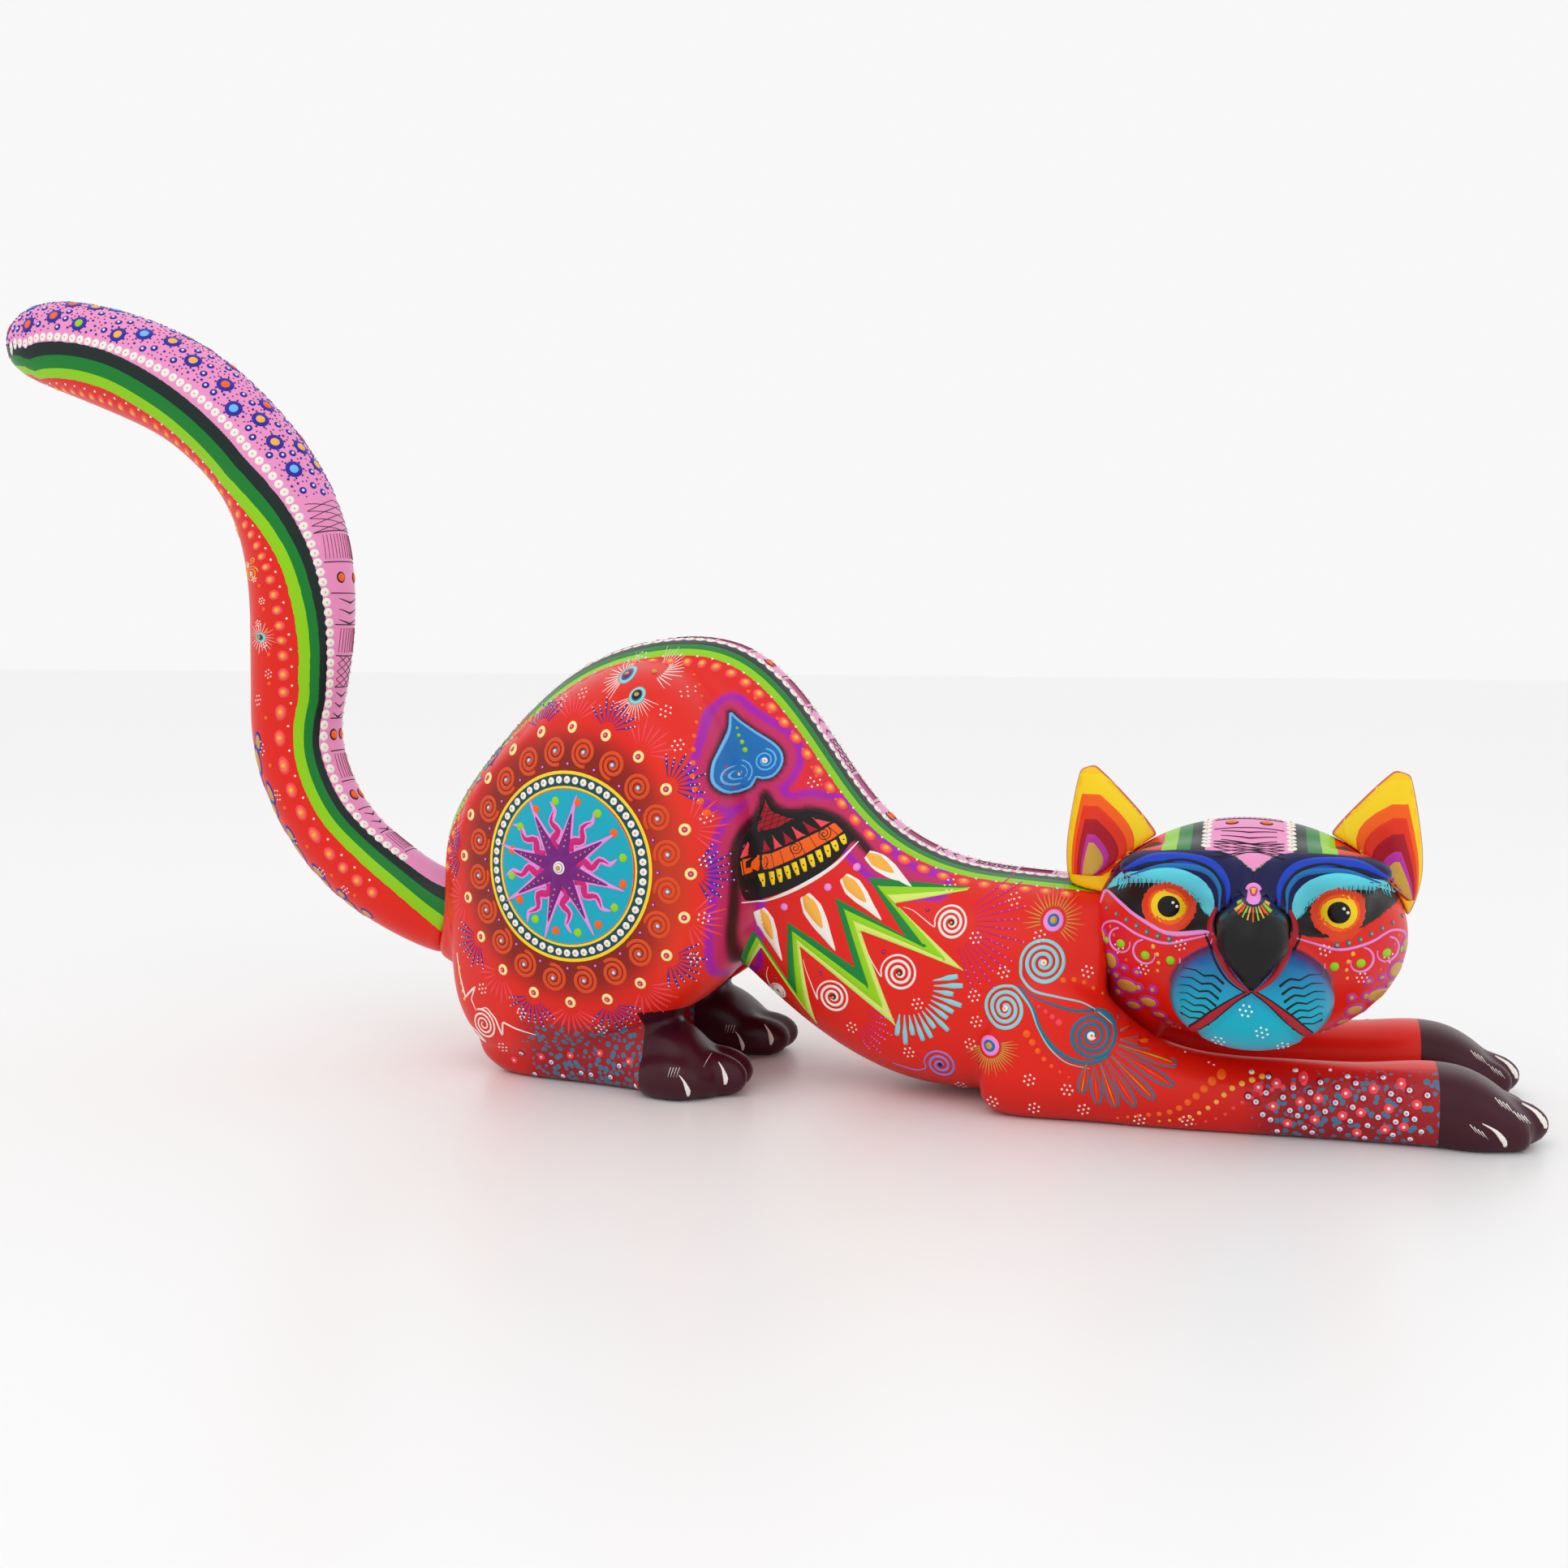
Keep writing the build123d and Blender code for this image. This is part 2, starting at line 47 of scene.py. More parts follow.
def block_mesh(names):
    """Points in millimetres and triangles of some blocks together."""
    points, faces, count = [], [], 0
    for name in names:
        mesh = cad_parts[name].data
        mesh.calc_loop_triangles()
        co = np.empty(len(mesh.vertices) * 3, np.float32)
        mesh.vertices.foreach_get("co", co)
        tri = np.empty(len(mesh.loop_triangles) * 3, np.int32)
        mesh.loop_triangles.foreach_get("vertices", tri)
        points.append(co.reshape(-1, 3) / MM)
        faces.append(tri.reshape(-1, 3) + count)
        count += len(mesh.vertices)
    return np.vstack(points), np.vstack(faces)


def wood_field(names, voxel):
    """Signed distance in millimetres on a grid round some blocks, negative inside the wood."""
    points, faces = block_mesh(names)
    low = np.floor(points.min(0) / voxel).astype(int) - 6
    high = np.ceil(points.max(0) / voxel).astype(int) + 6
    grid = openvdb.FloatGrid.createLevelSetFromPolygons(
        (points / voxel).astype(np.float32), triangles=faces.astype(np.uint32), halfWidth=5.0
    )
    field = np.empty(tuple(high - low), np.float32)
    grid.copyToArray(field, ijk=tuple(int(v) for v in low))
    return field * voxel, low


def sanded(field, rounds):
    """Rounds every corner a little, as sanding and gesso do."""
    for _ in range(rounds):
        for axis in range(3):
            field = (np.roll(field, 1, axis) + 2 * field + np.roll(field, -1, axis)) / 4
    return field


def skin_mesh(name, field, low, voxel):
    """Object whose smooth surface is the zero level of a field."""
    grid = openvdb.FloatGrid(background=5 * voxel)
    grid.copyFromArray(np.ascontiguousarray(field), ijk=tuple(int(v) for v in low))
    points, quads = grid.convertToQuads(isovalue=0.0)
    mesh = bpy.data.meshes.new(name)
    mesh.vertices.add(len(points))
    mesh.vertices.foreach_set("co", (points * voxel * MM).astype(np.float32).ravel())
    mesh.loops.add(len(quads) * 4)
    mesh.loops.foreach_set("vertex_index", quads.astype(np.int32).ravel())
    mesh.polygons.add(len(quads))
    mesh.polygons.foreach_set("loop_start", np.arange(0, len(quads) * 4, 4, dtype=np.int32))
    mesh.update(calc_edges=True)
    mesh.validate()
    mesh.shade_smooth()
    obj = bpy.data.objects.new(name, mesh)
    bpy.context.scene.collection.objects.link(obj)
    return obj


def skin_points(skin):
    co = np.empty(len(skin.data.vertices) * 3, np.float32)
    skin.data.vertices.foreach_get("co", co)
    return co.reshape(-1, 3) / MM


def set_values(skin, **values):
    """Stores numbers for the points of a skin: one for all of them, or one each."""
    for name, value in values.items():
        each = np.broadcast_to(value, len(skin.data.vertices))
        layer = skin.data.attributes.new(name, "FLOAT", "POINT")
        layer.data.foreach_set("value", np.ascontiguousarray(each, np.float32))


def set_ground(skin, colours):
    """Stores the brushed ground colour of the points of a skin."""
    rgba = np.ones((len(skin.data.vertices), 4), np.float32)
    rgba[:, :3] = colours
    layers = skin.data.color_attributes
    layer = layers.get("ground") or layers.new("ground", "FLOAT_COLOR", "POINT")
    layer.data.foreach_set("color", rgba.ravel())


def rgb(r, g, b):
    """Linear colour from the 0 to 255 values of a paint swatch."""
    return np.array([((v / 255 + 0.055) / 1.055) ** 2.4 if v > 10 else v / 3295 for v in (r, g, b)])


def soft(value, start, end):
    """Rises from 0 to 1 between two values, with no corner at either."""
    t = np.clip((value - start) / (end - start), 0, 1)
    return t * t * (3 - 2 * t)


def curve(points, step):
    """Smooth line through some points, as an array with about one point for each step."""
    p = np.array([points[0], *points, points[-1]], float)
    made = []
    for k in range(1, len(p) - 2):
        a, b, c, d = p[k - 1:k + 3]
        n = max(2, int(np.linalg.norm(c - b) / step))
        for t in np.linspace(0, 1, n, endpoint=False):
            made.append(0.5 * (2 * b + (c - a) * t + (2 * a - 5 * b + 4 * c - d) * t * t
                               + (3 * b - a - 3 * c + d) * t ** 3))
    return np.array(made + [p[-2]])


def run_along(line):
    """Distance along a line at each of its points."""
    return np.concatenate([[0], np.cumsum(np.linalg.norm(np.diff(line, axis=0), axis=1))])


def arc_from_ridge(points, ridge):
    """Distance along the wood from the ridge line, and the place along that line, for each point."""
    flat = points[:, [0, 2]]
    near = np.zeros(len(flat), int)
    best = np.full(len(flat), 1e9)
    for k, place in enumerate(ridge):
        gap = ((flat - place) ** 2).sum(1)
        closer = gap < best
        near[closer], best[closer] = k, gap[closer]
    depth = np.sqrt(best)
    side = np.abs(points[:, 1] - MIDDLE)
    lean = np.arctan2(depth, np.maximum(side, 0.01))
    chord = np.hypot(depth, side)
    return chord * lean / np.maximum(np.sin(lean), 1e-3), run_along(ridge)[near]


def new_material(name):
    mat = bpy.data.materials.new(name)
    mat.use_nodes = True
    return mat, mat.node_tree.nodes, mat.node_tree.links, mat.node_tree.nodes["Principled BSDF"]


def brushed(nodes, links, shader, roughness, coat, grain_scale, strength, height, place=None):
    """The sheen of varnish over paint, with the fine grain left by the brush."""
    shader.inputs["Roughness"].default_value = roughness
    shader.inputs["Coat Weight"].default_value = coat
    shader.inputs["Coat Roughness"].default_value = 0.25
    shader.inputs["Specular IOR Level"].default_value = 0.22
    grain = nodes.new("ShaderNodeTexNoise")
    grain.inputs["Scale"].default_value = grain_scale
    if place:
        links.new(place, grain.inputs["Vector"])
    bump = nodes.new("ShaderNodeBump")
    bump.inputs["Strength"].default_value = strength
    bump.inputs["Distance"].default_value = height
    links.new(grain.outputs["Fac"], bump.inputs["Height"])
    links.new(bump.outputs["Normal"], shader.inputs["Normal"])


CLEAR = (0, 0, 0, 0)
SPECK, SPECK_SCALE = rgb(62, 120, 150), 520.0
PAW = rgb(62, 14, 30)


def skin_material(name, band_colours, band_edges):
    """Brushed ground, crisp bands by distance from the ridge, dark paws and speckled shins."""
    mat, nodes, links, shader = new_material(name)

    def stored(attribute):
        value = nodes.new("ShaderNodeAttribute")
        value.attribute_name = attribute
        return value.outputs

    colour = stored("ground")["Color"]

    def mixed(factor):
        mix = nodes.new("ShaderNodeMix")
        mix.data_type = "RGBA"
        links.new(factor, mix.inputs["Factor"])
        links.new(colour, mix.inputs[6])
        return mix.inputs[7], mix.outputs[2]

    def layer(attribute, stops, scale):
        """Flat colours over what is there, one from each stop of a stored value to the next."""
        fit = nodes.new("ShaderNodeMath")
        fit.operation = "MULTIPLY"
        fit.inputs[1].default_value = 1 / scale
        links.new(stored(attribute)["Fac"], fit.inputs[0])
        ramp = nodes.new("ShaderNodeValToRGB")
        steps = ramp.color_ramp.elements
        ramp.color_ramp.interpolation = "CONSTANT"
        steps.remove(steps[1])
        for k, (at, rgba) in enumerate(stops):
            stop = steps[0] if k == 0 else steps.new(at / scale)
            stop.color = rgba
        links.new(fit.outputs[0], ramp.inputs["Fac"])
        top, result = mixed(ramp.outputs["Alpha"])
        links.new(ramp.outputs["Color"], top)
        return result

    bands = [(edge, (*c, 1.0)) for edge, c in zip([0.0, *band_edges], band_colours)]
    colour = layer("band", bands + [(band_edges[-1], CLEAR)], 10.0)
    place = nodes.new("ShaderNodeTexCoord").outputs["Object"]
    speck = nodes.new("ShaderNodeTexVoronoi")
    speck.inputs["Scale"].default_value = SPECK_SCALE
    links.new(place, speck.inputs["Vector"])
    cut = nodes.new("ShaderNodeMath")
    cut.operation = "LESS_THAN"
    links.new(speck.outputs["Distance"], cut.inputs[0])
    links.new(stored("speckle")["Fac"], cut.inputs[1])
    top, colour = mixed(cut.outputs[0])
    top.default_value = (*SPECK, 1)
    colour = layer("paw", [(0.0, CLEAR), (1.0, (*PAW, 1.0))], 2.0)
    links.new(colour, shader.inputs["Base Color"])
    brushed(nodes, links, shader, 0.35, 0.08, 900.0, 0.05, 0.0003, place)
    return mat


MIDDLE = 8.2
BODY_VOXEL = 1.0
BACK_LINE = [
    (-78, 53), (-77, 64), (-73, 76), (-64, 90), (-53, 101), (-42, 110), (-30, 117), (-15, 122), (0, 123.5),
    (10, 121), (20, 114), (29, 103), (39, 89), (50, 77), (62, 68.5), (75, 63.5), (90, 61), (104, 60), (118, 59.5),
]
BACK_EDGES = (5.6, 8.8, 11.5, 14.2)
BAND_EDGES, NO_BAND, FAR = (1.0, 2.0, 3.0, 4.0), 9.0, 60
BAND_COLOURS = rgb(236, 146, 196), rgb(14, 34, 30), rgb(4, 124, 40), rgb(142, 206, 4)
RED = rgb(226, 30, 12)
FORE_PAW_START, HIND_PAW_START, HIND_PAW_END, HIND_PAW_TOP = 196.2, -9.0, 25, 24
ARM_OUT, SPECKLE = 30, 0.42

legs = ["right_hind_leg", "left_hind_leg", "right_foreleg", "left_foreleg"]
dowels = [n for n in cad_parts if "dowel" in n]
field, low = wood_field(["torso"] + legs + dowels, BODY_VOXEL)
body_skin = skin_mesh("body_skin", sanded(field, 4), low, BODY_VOXEL)
points = skin_points(body_skin)
x, y, z = points.T
back = curve(BACK_LINE, 1.0)
arc, _ = arc_from_ridge(points, back)
on_back = (z > np.interp(x, back[:, 0], back[:, 1]) - 22) & (x > -80) & (z > 45)
band = np.interp(arc, [0, *BACK_EDGES, FAR], [0, *BAND_EDGES, NO_BAND])
fore = soft(x, FORE_PAW_START, FORE_PAW_START + 1) * 2
hind = soft(x, HIND_PAW_START, HIND_PAW_START + 1) * 2
paw = np.maximum(fore, np.where((x < HIND_PAW_END) & (z < HIND_PAW_TOP), hind, 0))
shin = soft(x, -50, -38) * soft(22 - z, 0, 5) * (x < 0)
arm = (np.abs(y - MIDDLE) > ARM_OUT) * soft(x, 148, 160) * soft(21 - z + (x - 185) * 0.1, 0, 6)
speckled = np.clip(shin + arm, 0, 1)
set_values(body_skin, band=np.where(on_back, band, NO_BAND), paw=paw, speckle=speckled * SPECKLE)
set_ground(body_skin, RED)
skin_paint = skin_material("body_paint", BAND_COLOURS, BAND_EDGES)
body_skin.data.materials.append(skin_paint)
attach(body_skin, "figure")
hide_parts("torso", *legs)

# ======== Tail ========
# One bent piece of copal wood, sanded and painted with the same bands as the back, which run on over it.
# It sits on a peg in the rump without glue, and is pulled off for packing.

TAIL_VOXEL = 0.8
TAIL_LINE = [
    (-88, 59), (-98, 66.5), (-108.5, 76), (-114.5, 87), (-115.8, 97), (-113.5, 109), (-110.8, 123), (-110.3, 138),
    (-112, 152), (-117, 165.5), (-125, 178.5), (-134, 190), (-146, 201.5), (-159, 211), (-174.5, 219.5),
    (-190, 224.5), (-205, 226.5), (-217, 225.6), (-229, 222),
]
TAIL_ROOT, ROOT_RUN = (-68, 44), 25.0
STATIONS = [0, 45, 57, 83, 109, 141, 240, 258]
EDGE_SETS = ([7.5, 8, 6.9, 10.2, 14.5, 19, 21, 11], [10.3, 10, 9, 12.9, 17.8, 22.5, 25, 16],
             [13.4, 12.6, 12, 16, 21, 27, 29.4, 20], [17, 15.8, 15.4, 20, 25, 31.5, 33, 24])

field, low = wood_field(["tail"], TAIL_VOXEL)
tail_skin = skin_mesh("tail_skin", sanded(field, 2), low, TAIL_VOXEL)
ridge = curve(TAIL_LINE, 1.0)
arc, along = arc_from_ridge(skin_points(tail_skin), curve([TAIL_ROOT, *TAIL_LINE], 1.0))
edges = np.array([np.interp(along - ROOT_RUN, STATIONS, s) for s in EDGE_SETS])
band = sum(np.clip((arc - inner) / (outer - inner), 0, 1) for inner, outer in zip([0 * arc, *edges], edges))
band += np.clip(arc - edges[3], 0, 4)
set_values(tail_skin, band=band, paw=0, speckle=0)
set_ground(tail_skin, RED)
tail_skin.data.materials.append(skin_paint)
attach(tail_skin, "tail_piece")
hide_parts("tail")

# ======== Head ========
# Carved as one block, turned to the side, with a round muzzle standing out, a shield-shaped nose
# and the eyes cut in under the brow; glued to the neck on two dowels and painted with the body.


def egg(x, y, z, middle, radii):
    """Rough signed distance to an ellipsoid, good enough to carve with."""
    u, v, w = ((p - m) / r for p, m, r in zip((x, y, z), middle, radii))
    k = np.sqrt(u * u + v * v + w * w) + 1e-6
    g = np.sqrt((u / radii[0]) ** 2 + (v / radii[1]) ** 2 + (w / radii[2]) ** 2) + 1e-6
    return k * (k - 1) / g


def join(a, b, fillet):
    h = np.clip(0.5 + 0.5 * (b - a) / fillet, 0, 1)
    return b + (a - b) * h - fillet * h * (1 - h)


def carve(a, b, fillet):
    return -join(-a, b, fillet)


def blend_to(colours, colour, amount):
    return colours + (np.asarray(colour) - colours) * np.asarray(amount)[:, None]


HEAD_VOXEL, PEG_ROOM = 0.6, 0.35
SKULL, SKULL_RADII = (150.5, -2.8, 48.8), (40.0, 33.0, 29.2)
FACE_X, EYE_OUT, EYE_Z = 151.8, 20.4, 58.4
MUZZLE = (0, -36.5, 38.0), (19.6, 17.6, 13.2)
FEATURES = (
    (join, *MUZZLE, 2.5),
    (join, (17.5, -24.5, 67.3), (15.5, 8.5, 5.5), 7.0),
    (join, (0, -30.0, 60.0), (8.0, 9.0, 12), 5.0),
    (carve, (EYE_OUT + 3.5, -36.5, EYE_Z - 0.5), (15.5, 10.0, 6.2), 1.8),
    (carve, (EYE_OUT - 3.5, -37.5, EYE_Z - 1.5), (9.0, 8.0, 5.4), 1.8),
    (join, (EYE_OUT, -22.4, EYE_Z), (7.4, 7.4, 7.4), 0.8),
)
NOSE_HEIGHTS, NOSE_WIDTHS = [38, 42, 47, 52, 57, 61], [0.1, 0.6, 4.6, 8.4, 8.2, 5.0]
HAIR_OUT, HAIR_HEIGHT = [0, 1.5, 4, 10.8, 22.6, 29.4, 34], [68.4, 69.4, 71.0, 72.0, 71.6, 68.6, 65]
CROWN_EDGES = (10.6, 14.0, 17.5, 21.0)

block, low = wood_field(["head", "neck_dowel_upper", "neck_dowel_lower"], HEAD_VOXEL)
x, y, z = (np.arange(n, dtype=np.float32) + l for n, l in zip(block.shape, low))
x, y, z = x[:, None, None] * HEAD_VOXEL, y[None, :, None] * HEAD_VOXEL, z[None, None, :] * HEAD_VOXEL
block = sanded(block, 2)
side = np.abs(x - FACE_X)
head = egg(x, y, z, SKULL, SKULL_RADII)
for work, middle, radii, fillet in FEATURES:
    head = work(head, egg(side, y, z, middle, radii), fillet)
width = np.interp(z, NOSE_HEIGHTS, NOSE_WIDTHS)
nose = carve(egg(side, y, z, (0, -41.5, 51.5), (11, 13.5, 12.0)), -(side - width), 2.0)
head = join(head, nose, 1.0)
mouth = np.abs((z - 42.0) * 0.70 + side * 0.72) - 0.55
head = carve(head, np.maximum(np.maximum(mouth, side - 18.5), -1.0 - egg(side, y, z, *MUZZLE)), 0.8)
keep = np.clip((y + 16) / 8, 0, 1)
head = head * (1 - keep) + np.minimum(block, head) * keep
for word in ("right", "left"):
    socket = np.full(head.shape, 9.0, np.float32)
    peg, peg_low = wood_field([f"{word}_ear_peg"], HEAD_VOXEL)
    at = peg_low - low
    first, last = np.maximum(at, 0), np.minimum(at + peg.shape, head.shape)
    place = tuple(slice(a, b) for a, b in zip(first, last))
    part = tuple(slice(a - t, b - t) for a, b, t in zip(first, last, at))
    socket[place] = peg[part]
    head = np.maximum(head, PEG_ROOM - socket)
head_skin = skin_mesh("head_skin", sanded(head, 1), low, HEAD_VOXEL)
x, y, z = skin_points(head_skin).T
out_x = np.abs(x - FACE_X)
crown = (z > 60) & ((y > -12) | (z > np.interp(out_x, HAIR_OUT, HAIR_HEIGHT))) & (y < 34)
band = np.interp(np.abs(x - SKULL[0]), [0, *CROWN_EDGES, FAR], [0, *BAND_EDGES, NO_BAND])
set_values(head_skin, band=np.where(crown, band, NO_BAND), paw=0, speckle=0)
out = np.hypot((x - FACE_X) / 19.8, (z - 38.0) / 13.6)
depth_blue = soft(z, 34, 48) * 0.75 + soft(out, 0.75, 1.0) * 0.3
muzzle_paint = blend_to(rgb(0, 172, 196), rgb(6, 84, 160), np.clip(depth_blue, 0, 1))
muzzle_paint = blend_to(muzzle_paint, rgb(20, 26, 50), soft(out, 0.90, 1.0) * 0.75)
inside = (1 - soft(out, 0.985, 1.03)) * (y < -30)
cheek = soft(out_x, 27, 36) * soft(-y, 5, 20) * soft(56 - z, 0, 8)
head_ground = blend_to(RED, muzzle_paint, inside)
head_ground = blend_to(head_ground, rgb(205, 30, 80), cheek * 0.6 * (1 - inside))
set_ground(head_skin, head_ground)
head_skin.data.materials.append(skin_paint)
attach(head_skin, "figure")
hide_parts("head")

# ======== Ears ========
# Two thin pointed pieces of copal wood, scooped at the front and sanded, yellow there and red behind.
# Each is pushed on a peg in the head without glue.

EAR_VOXEL = 0.5
for word in ("right", "left"):
    field, low = wood_field([f"{word}_ear"], EAR_VOXEL)
    ear_skin = skin_mesh(f"{word}_ear_skin", sanded(field, 2), low, EAR_VOXEL)
    set_values(ear_skin, band=NO_BAND, paw=0, speckle=0)
    facing = np.empty(len(ear_skin.data.vertices) * 3, np.float32)
    ear_skin.data.vertex_normals.foreach_get("vector", facing)
    facing = soft(-facing.reshape(-1, 3)[:, 1], 0.35, 0.6)
    set_ground(ear_skin, blend_to(rgb(200, 44, 48), rgb(250, 200, 10), facing))
    ear_skin.data.materials.append(skin_paint)
    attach(ear_skin, f"{word}_ear_piece")
    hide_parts(f"{word}_ear")

# ======== Paint on the haunches ========
# Each thigh carries a star in a ring of white beads, with rows of curls, beads and small fans round it.
# All the ornament is acrylic, laid over the ground with fine brushes, sticks and nail heads, a little raised.

SWATCHES = {
    "white": (244, 240, 232), "cream": (250, 236, 150), "gold": (206, 160, 66), "yellow": (250, 212, 24),
    "orange": (248, 98, 20), "rust": (222, 76, 22), "lime": (150, 210, 18), "pale_lime": (212, 236, 112),
    "green": (16, 132, 56), "turquoise": (14, 168, 192), "aqua": (134, 214, 220), "teal": (34, 116, 142),
    "blue": (14, 62, 190), "navy": (12, 14, 72), "sky": (108, 186, 244), "cyan": (96, 216, 232),
    "lilac": (236, 146, 220), "coral": (246, 72, 84), "magenta": (204, 30, 116), "purple": (116, 24, 122),
    "violet": (70, 40, 150), "black": (20, 17, 20), "crimson": (172, 16, 36), "sea": (20, 70, 84),
    "ring_blue": (22, 110, 180), "peach": (248, 180, 70), "periwinkle": (128, 146, 236),
    "salmon": (250, 122, 70), "wine": (120, 30, 60), "scarlet": (226, 40, 22), "scarlet_red": (232, 52, 26),
    "rust_red": (228, 62, 24), "orchid": (190, 50, 160), "violet_blue": (40, 34, 160),
}
paint = {}


def lay(sheet, colour, points, faces):
    """Adds one brush mark to the paint of that colour on the body that the drawing lies on."""
    all_points, all_faces = paint.setdefault((sheet.body, colour), ([], []))
    start = len(all_points)
    all_points.extend(points)
    all_faces.extend(tuple(start + k for k in face) for face in faces)


def skin_tree(skin):
    points = skin_points(skin).astype(float).tolist()
    return BVHTree.FromPolygons(points, [tuple(p.vertices) for p in skin.data.polygons])


def flat_sheet(body, tree, side, start):
    """A drawing laid flat against the wood from one side: (x, z) gives the wood and its outward direction."""
    def on(x, z):
        hit = tree.ray_cast(Vector((x, MIDDLE + start, z)), Vector((0, side, 0)))
        return hit[:2] if hit[0] is not None else None

    on.body = body
    return on


def dot(sheet, colour, u, v, radius, lift=0.08, dome=None):
    """A round touch of paint with a domed top."""
    spot = sheet(u, v)
    if spot is None:
        return
    place, normal = spot
    right = (Vector((1, 0, 0.01)) - normal * normal.x).normalized()
    up = normal.cross(right)
    n = 7 if radius < 0.5 else 10 if radius < 1.2 else 18
    dome = min(0.08 + 0.16 * radius, 0.4) if dome is None else dome
    rim, crown = [], []
    for k in range(n):
        a = 2 * math.pi * k / n
        c, s = math.cos(a), math.sin(a)
        if radius > 1.0:
            spot = sheet(u + radius * c, v + radius * s)
            mid = sheet(u + 0.75 * radius * c, v + 0.75 * radius * s)
            if spot is None or mid is None or (spot[0] - place).length > 3.2 * radius:
                return
            rim.append(spot[0] - spot[1] * 0.08)
            crown.append(mid[0] + mid[1] * (lift + dome * 0.55))
        else:
            out = right * c + up * s
            rim.append(place + out * radius - normal * 0.1)
            crown.append(place + out * radius * 0.75 + normal * (lift + dome * 0.5))
    points = rim + crown + [place + normal * (lift + dome), place - normal * 0.35]
    faces = []
    for k in range(n):
        j = (k + 1) % n
        faces += [(k, j, n + j, n + k), (n + k, n + j, 2 * n), (j, k, 2 * n + 1)]
    lay(sheet, colour, points, faces)


def spaced(line, step, spare):
    """The same line with its points evenly spaced."""
    run = run_along(line)
    at = np.linspace(0, run[-1], int(run[-1] / step) + spare)
    return np.stack([np.interp(at, run, line[:, k]) for k in (0, 1)], 1)


def stroke(sheet, colour, path, width, lift=0.08, step=0.9, smooth=True):
    """A brush line along a path; width is one number or a list from the start to the end."""
    line = curve(path, step) if smooth else np.array(path, float)
    if not smooth and len(line) < 12:
        line = spaced(line, step, 3)
    tangent = np.gradient(line, axis=0)
    tangent /= np.maximum(np.linalg.norm(tangent, axis=1), 1e-6)[:, None]
    width = np.atleast_1d(width)
    half = np.interp(np.linspace(0, 1, len(line)), np.linspace(0, 1, len(width)), width) / 2
    wide = half.max() > 0.5
    n = 6 if wide else 4
    points = []
    last = None
    for (u, v), (a, b), h in zip(line, tangent, np.maximum(half, 0.04)):
        mid, left, right = sheet(u, v), sheet(u - b * h, v + a * h), sheet(u + b * h, v - a * h)
        if mid is None or left is None or right is None or (left[0] - right[0]).length > 6 * h + 1.5:
            break
        if last is not None and (mid[0] - last).length > 4 * step + 2:
            break
        last = mid[0]
        top = mid[0] + mid[1] * (lift + min(0.05 + 0.2 * h, 0.2))
        row = [left[0] - left[1] * 0.05, top, right[0] - right[1] * 0.05, mid[0] - mid[1] * 0.3]
        if wide:
            row.insert(1, left[0].lerp(mid[0], 0.2) + left[1] * lift)
            row.insert(3, right[0].lerp(mid[0], 0.2) + right[1] * lift)
        points += row
    rows = len(points) // n
    if rows < 2:
        return
    faces = [tuple(range(n)), tuple(reversed(range((rows - 1) * n, rows * n)))]
    for r in range(rows - 1):
        for k in range(n):
            j = (k + 1) % n
            faces.append((r * n + k, r * n + n + k, r * n + n + j, r * n + j))
    lay(sheet, colour, points, faces)


def fill(sheet, colour, outline, lift=0.06, grain=1.6, smooth=True):
    """A flat area of paint inside an outline."""
    edge = np.array(outline, float)
    if smooth:
        edge = curve([*outline, outline[0]], grain * 0.6)[:-1]
    else:
        edge = spaced(np.vstack([edge, edge[:1]]), grain * 0.6, 2)[:-1]
    turn = np.roll(edge, -1, 0) - np.roll(edge, 1, 0)
    turn /= np.linalg.norm(turn, axis=1)[:, None] + 1e-9
    area = (edge[:, 0] * np.roll(edge[:, 1], -1) - np.roll(edge[:, 0], -1) * edge[:, 1]).sum()
    inset = edge + np.stack([-turn[:, 1], turn[:, 0]], 1) * 0.3 * (1 if area > 0 else -1)
    inner = [tuple(p) for p in inset]
    for u in np.arange(edge[:, 0].min(), edge[:, 0].max(), grain):
        for v in np.arange(edge[:, 1].min(), edge[:, 1].max(), grain):
            x1, y1 = edge.T
            x2, y2 = np.roll(edge, -1, 0).T
            cross = (y1 > v) != (y2 > v)
            with np.errstate(divide="ignore", invalid="ignore"):
                odd = (cross & (u < (x2 - x1) * (v - y1) / (y2 - y1) + x1)).sum() % 2
            if odd and np.hypot(x1 - u, y1 - v).min() > grain * 0.4 + 0.3:
                inner.append((u, v))
    flat = [Vector(p) for p in edge] + [Vector(p) for p in inner]
    flat, _, tris, _, _, _ = delaunay_2d_cdt(flat, [], [list(range(len(edge)))], 1, 1e-5)
    spots = [sheet(*p) for p in flat]
    count = len(edge)
    points = []
    for k, spot in enumerate(spots):
        points.append(None if spot is None else spot[0] + spot[1] * (lift if k >= count else -0.06))
    under = {}
    for k in range(count, len(flat)):
        if spots[k] is not None:
            under[k] = len(points)
            points.append(spots[k][0] - spots[k][1] * 0.35)
    faces = []
    for tri in tris:
        if any(spots[k] is None for k in tri):
            continue
        if max((points[a] - points[b]).length for a, b in zip(tri, (*tri[1:], tri[0]))) > grain * 6:
            continue
        faces.append(tuple(tri))
        if not all(k < count for k in tri):
            faces.append(tuple(under.get(k, k) for k in reversed(tri)))
    points = [p if p is not None else Vector((0, 0, -50)) for p in points]
    used = sorted({k for f in faces for k in f})
    index = {k: i for i, k in enumerate(used)}
    lay(sheet, colour, [points[k] for k in used], [tuple(index[k] for k in f) for f in faces])


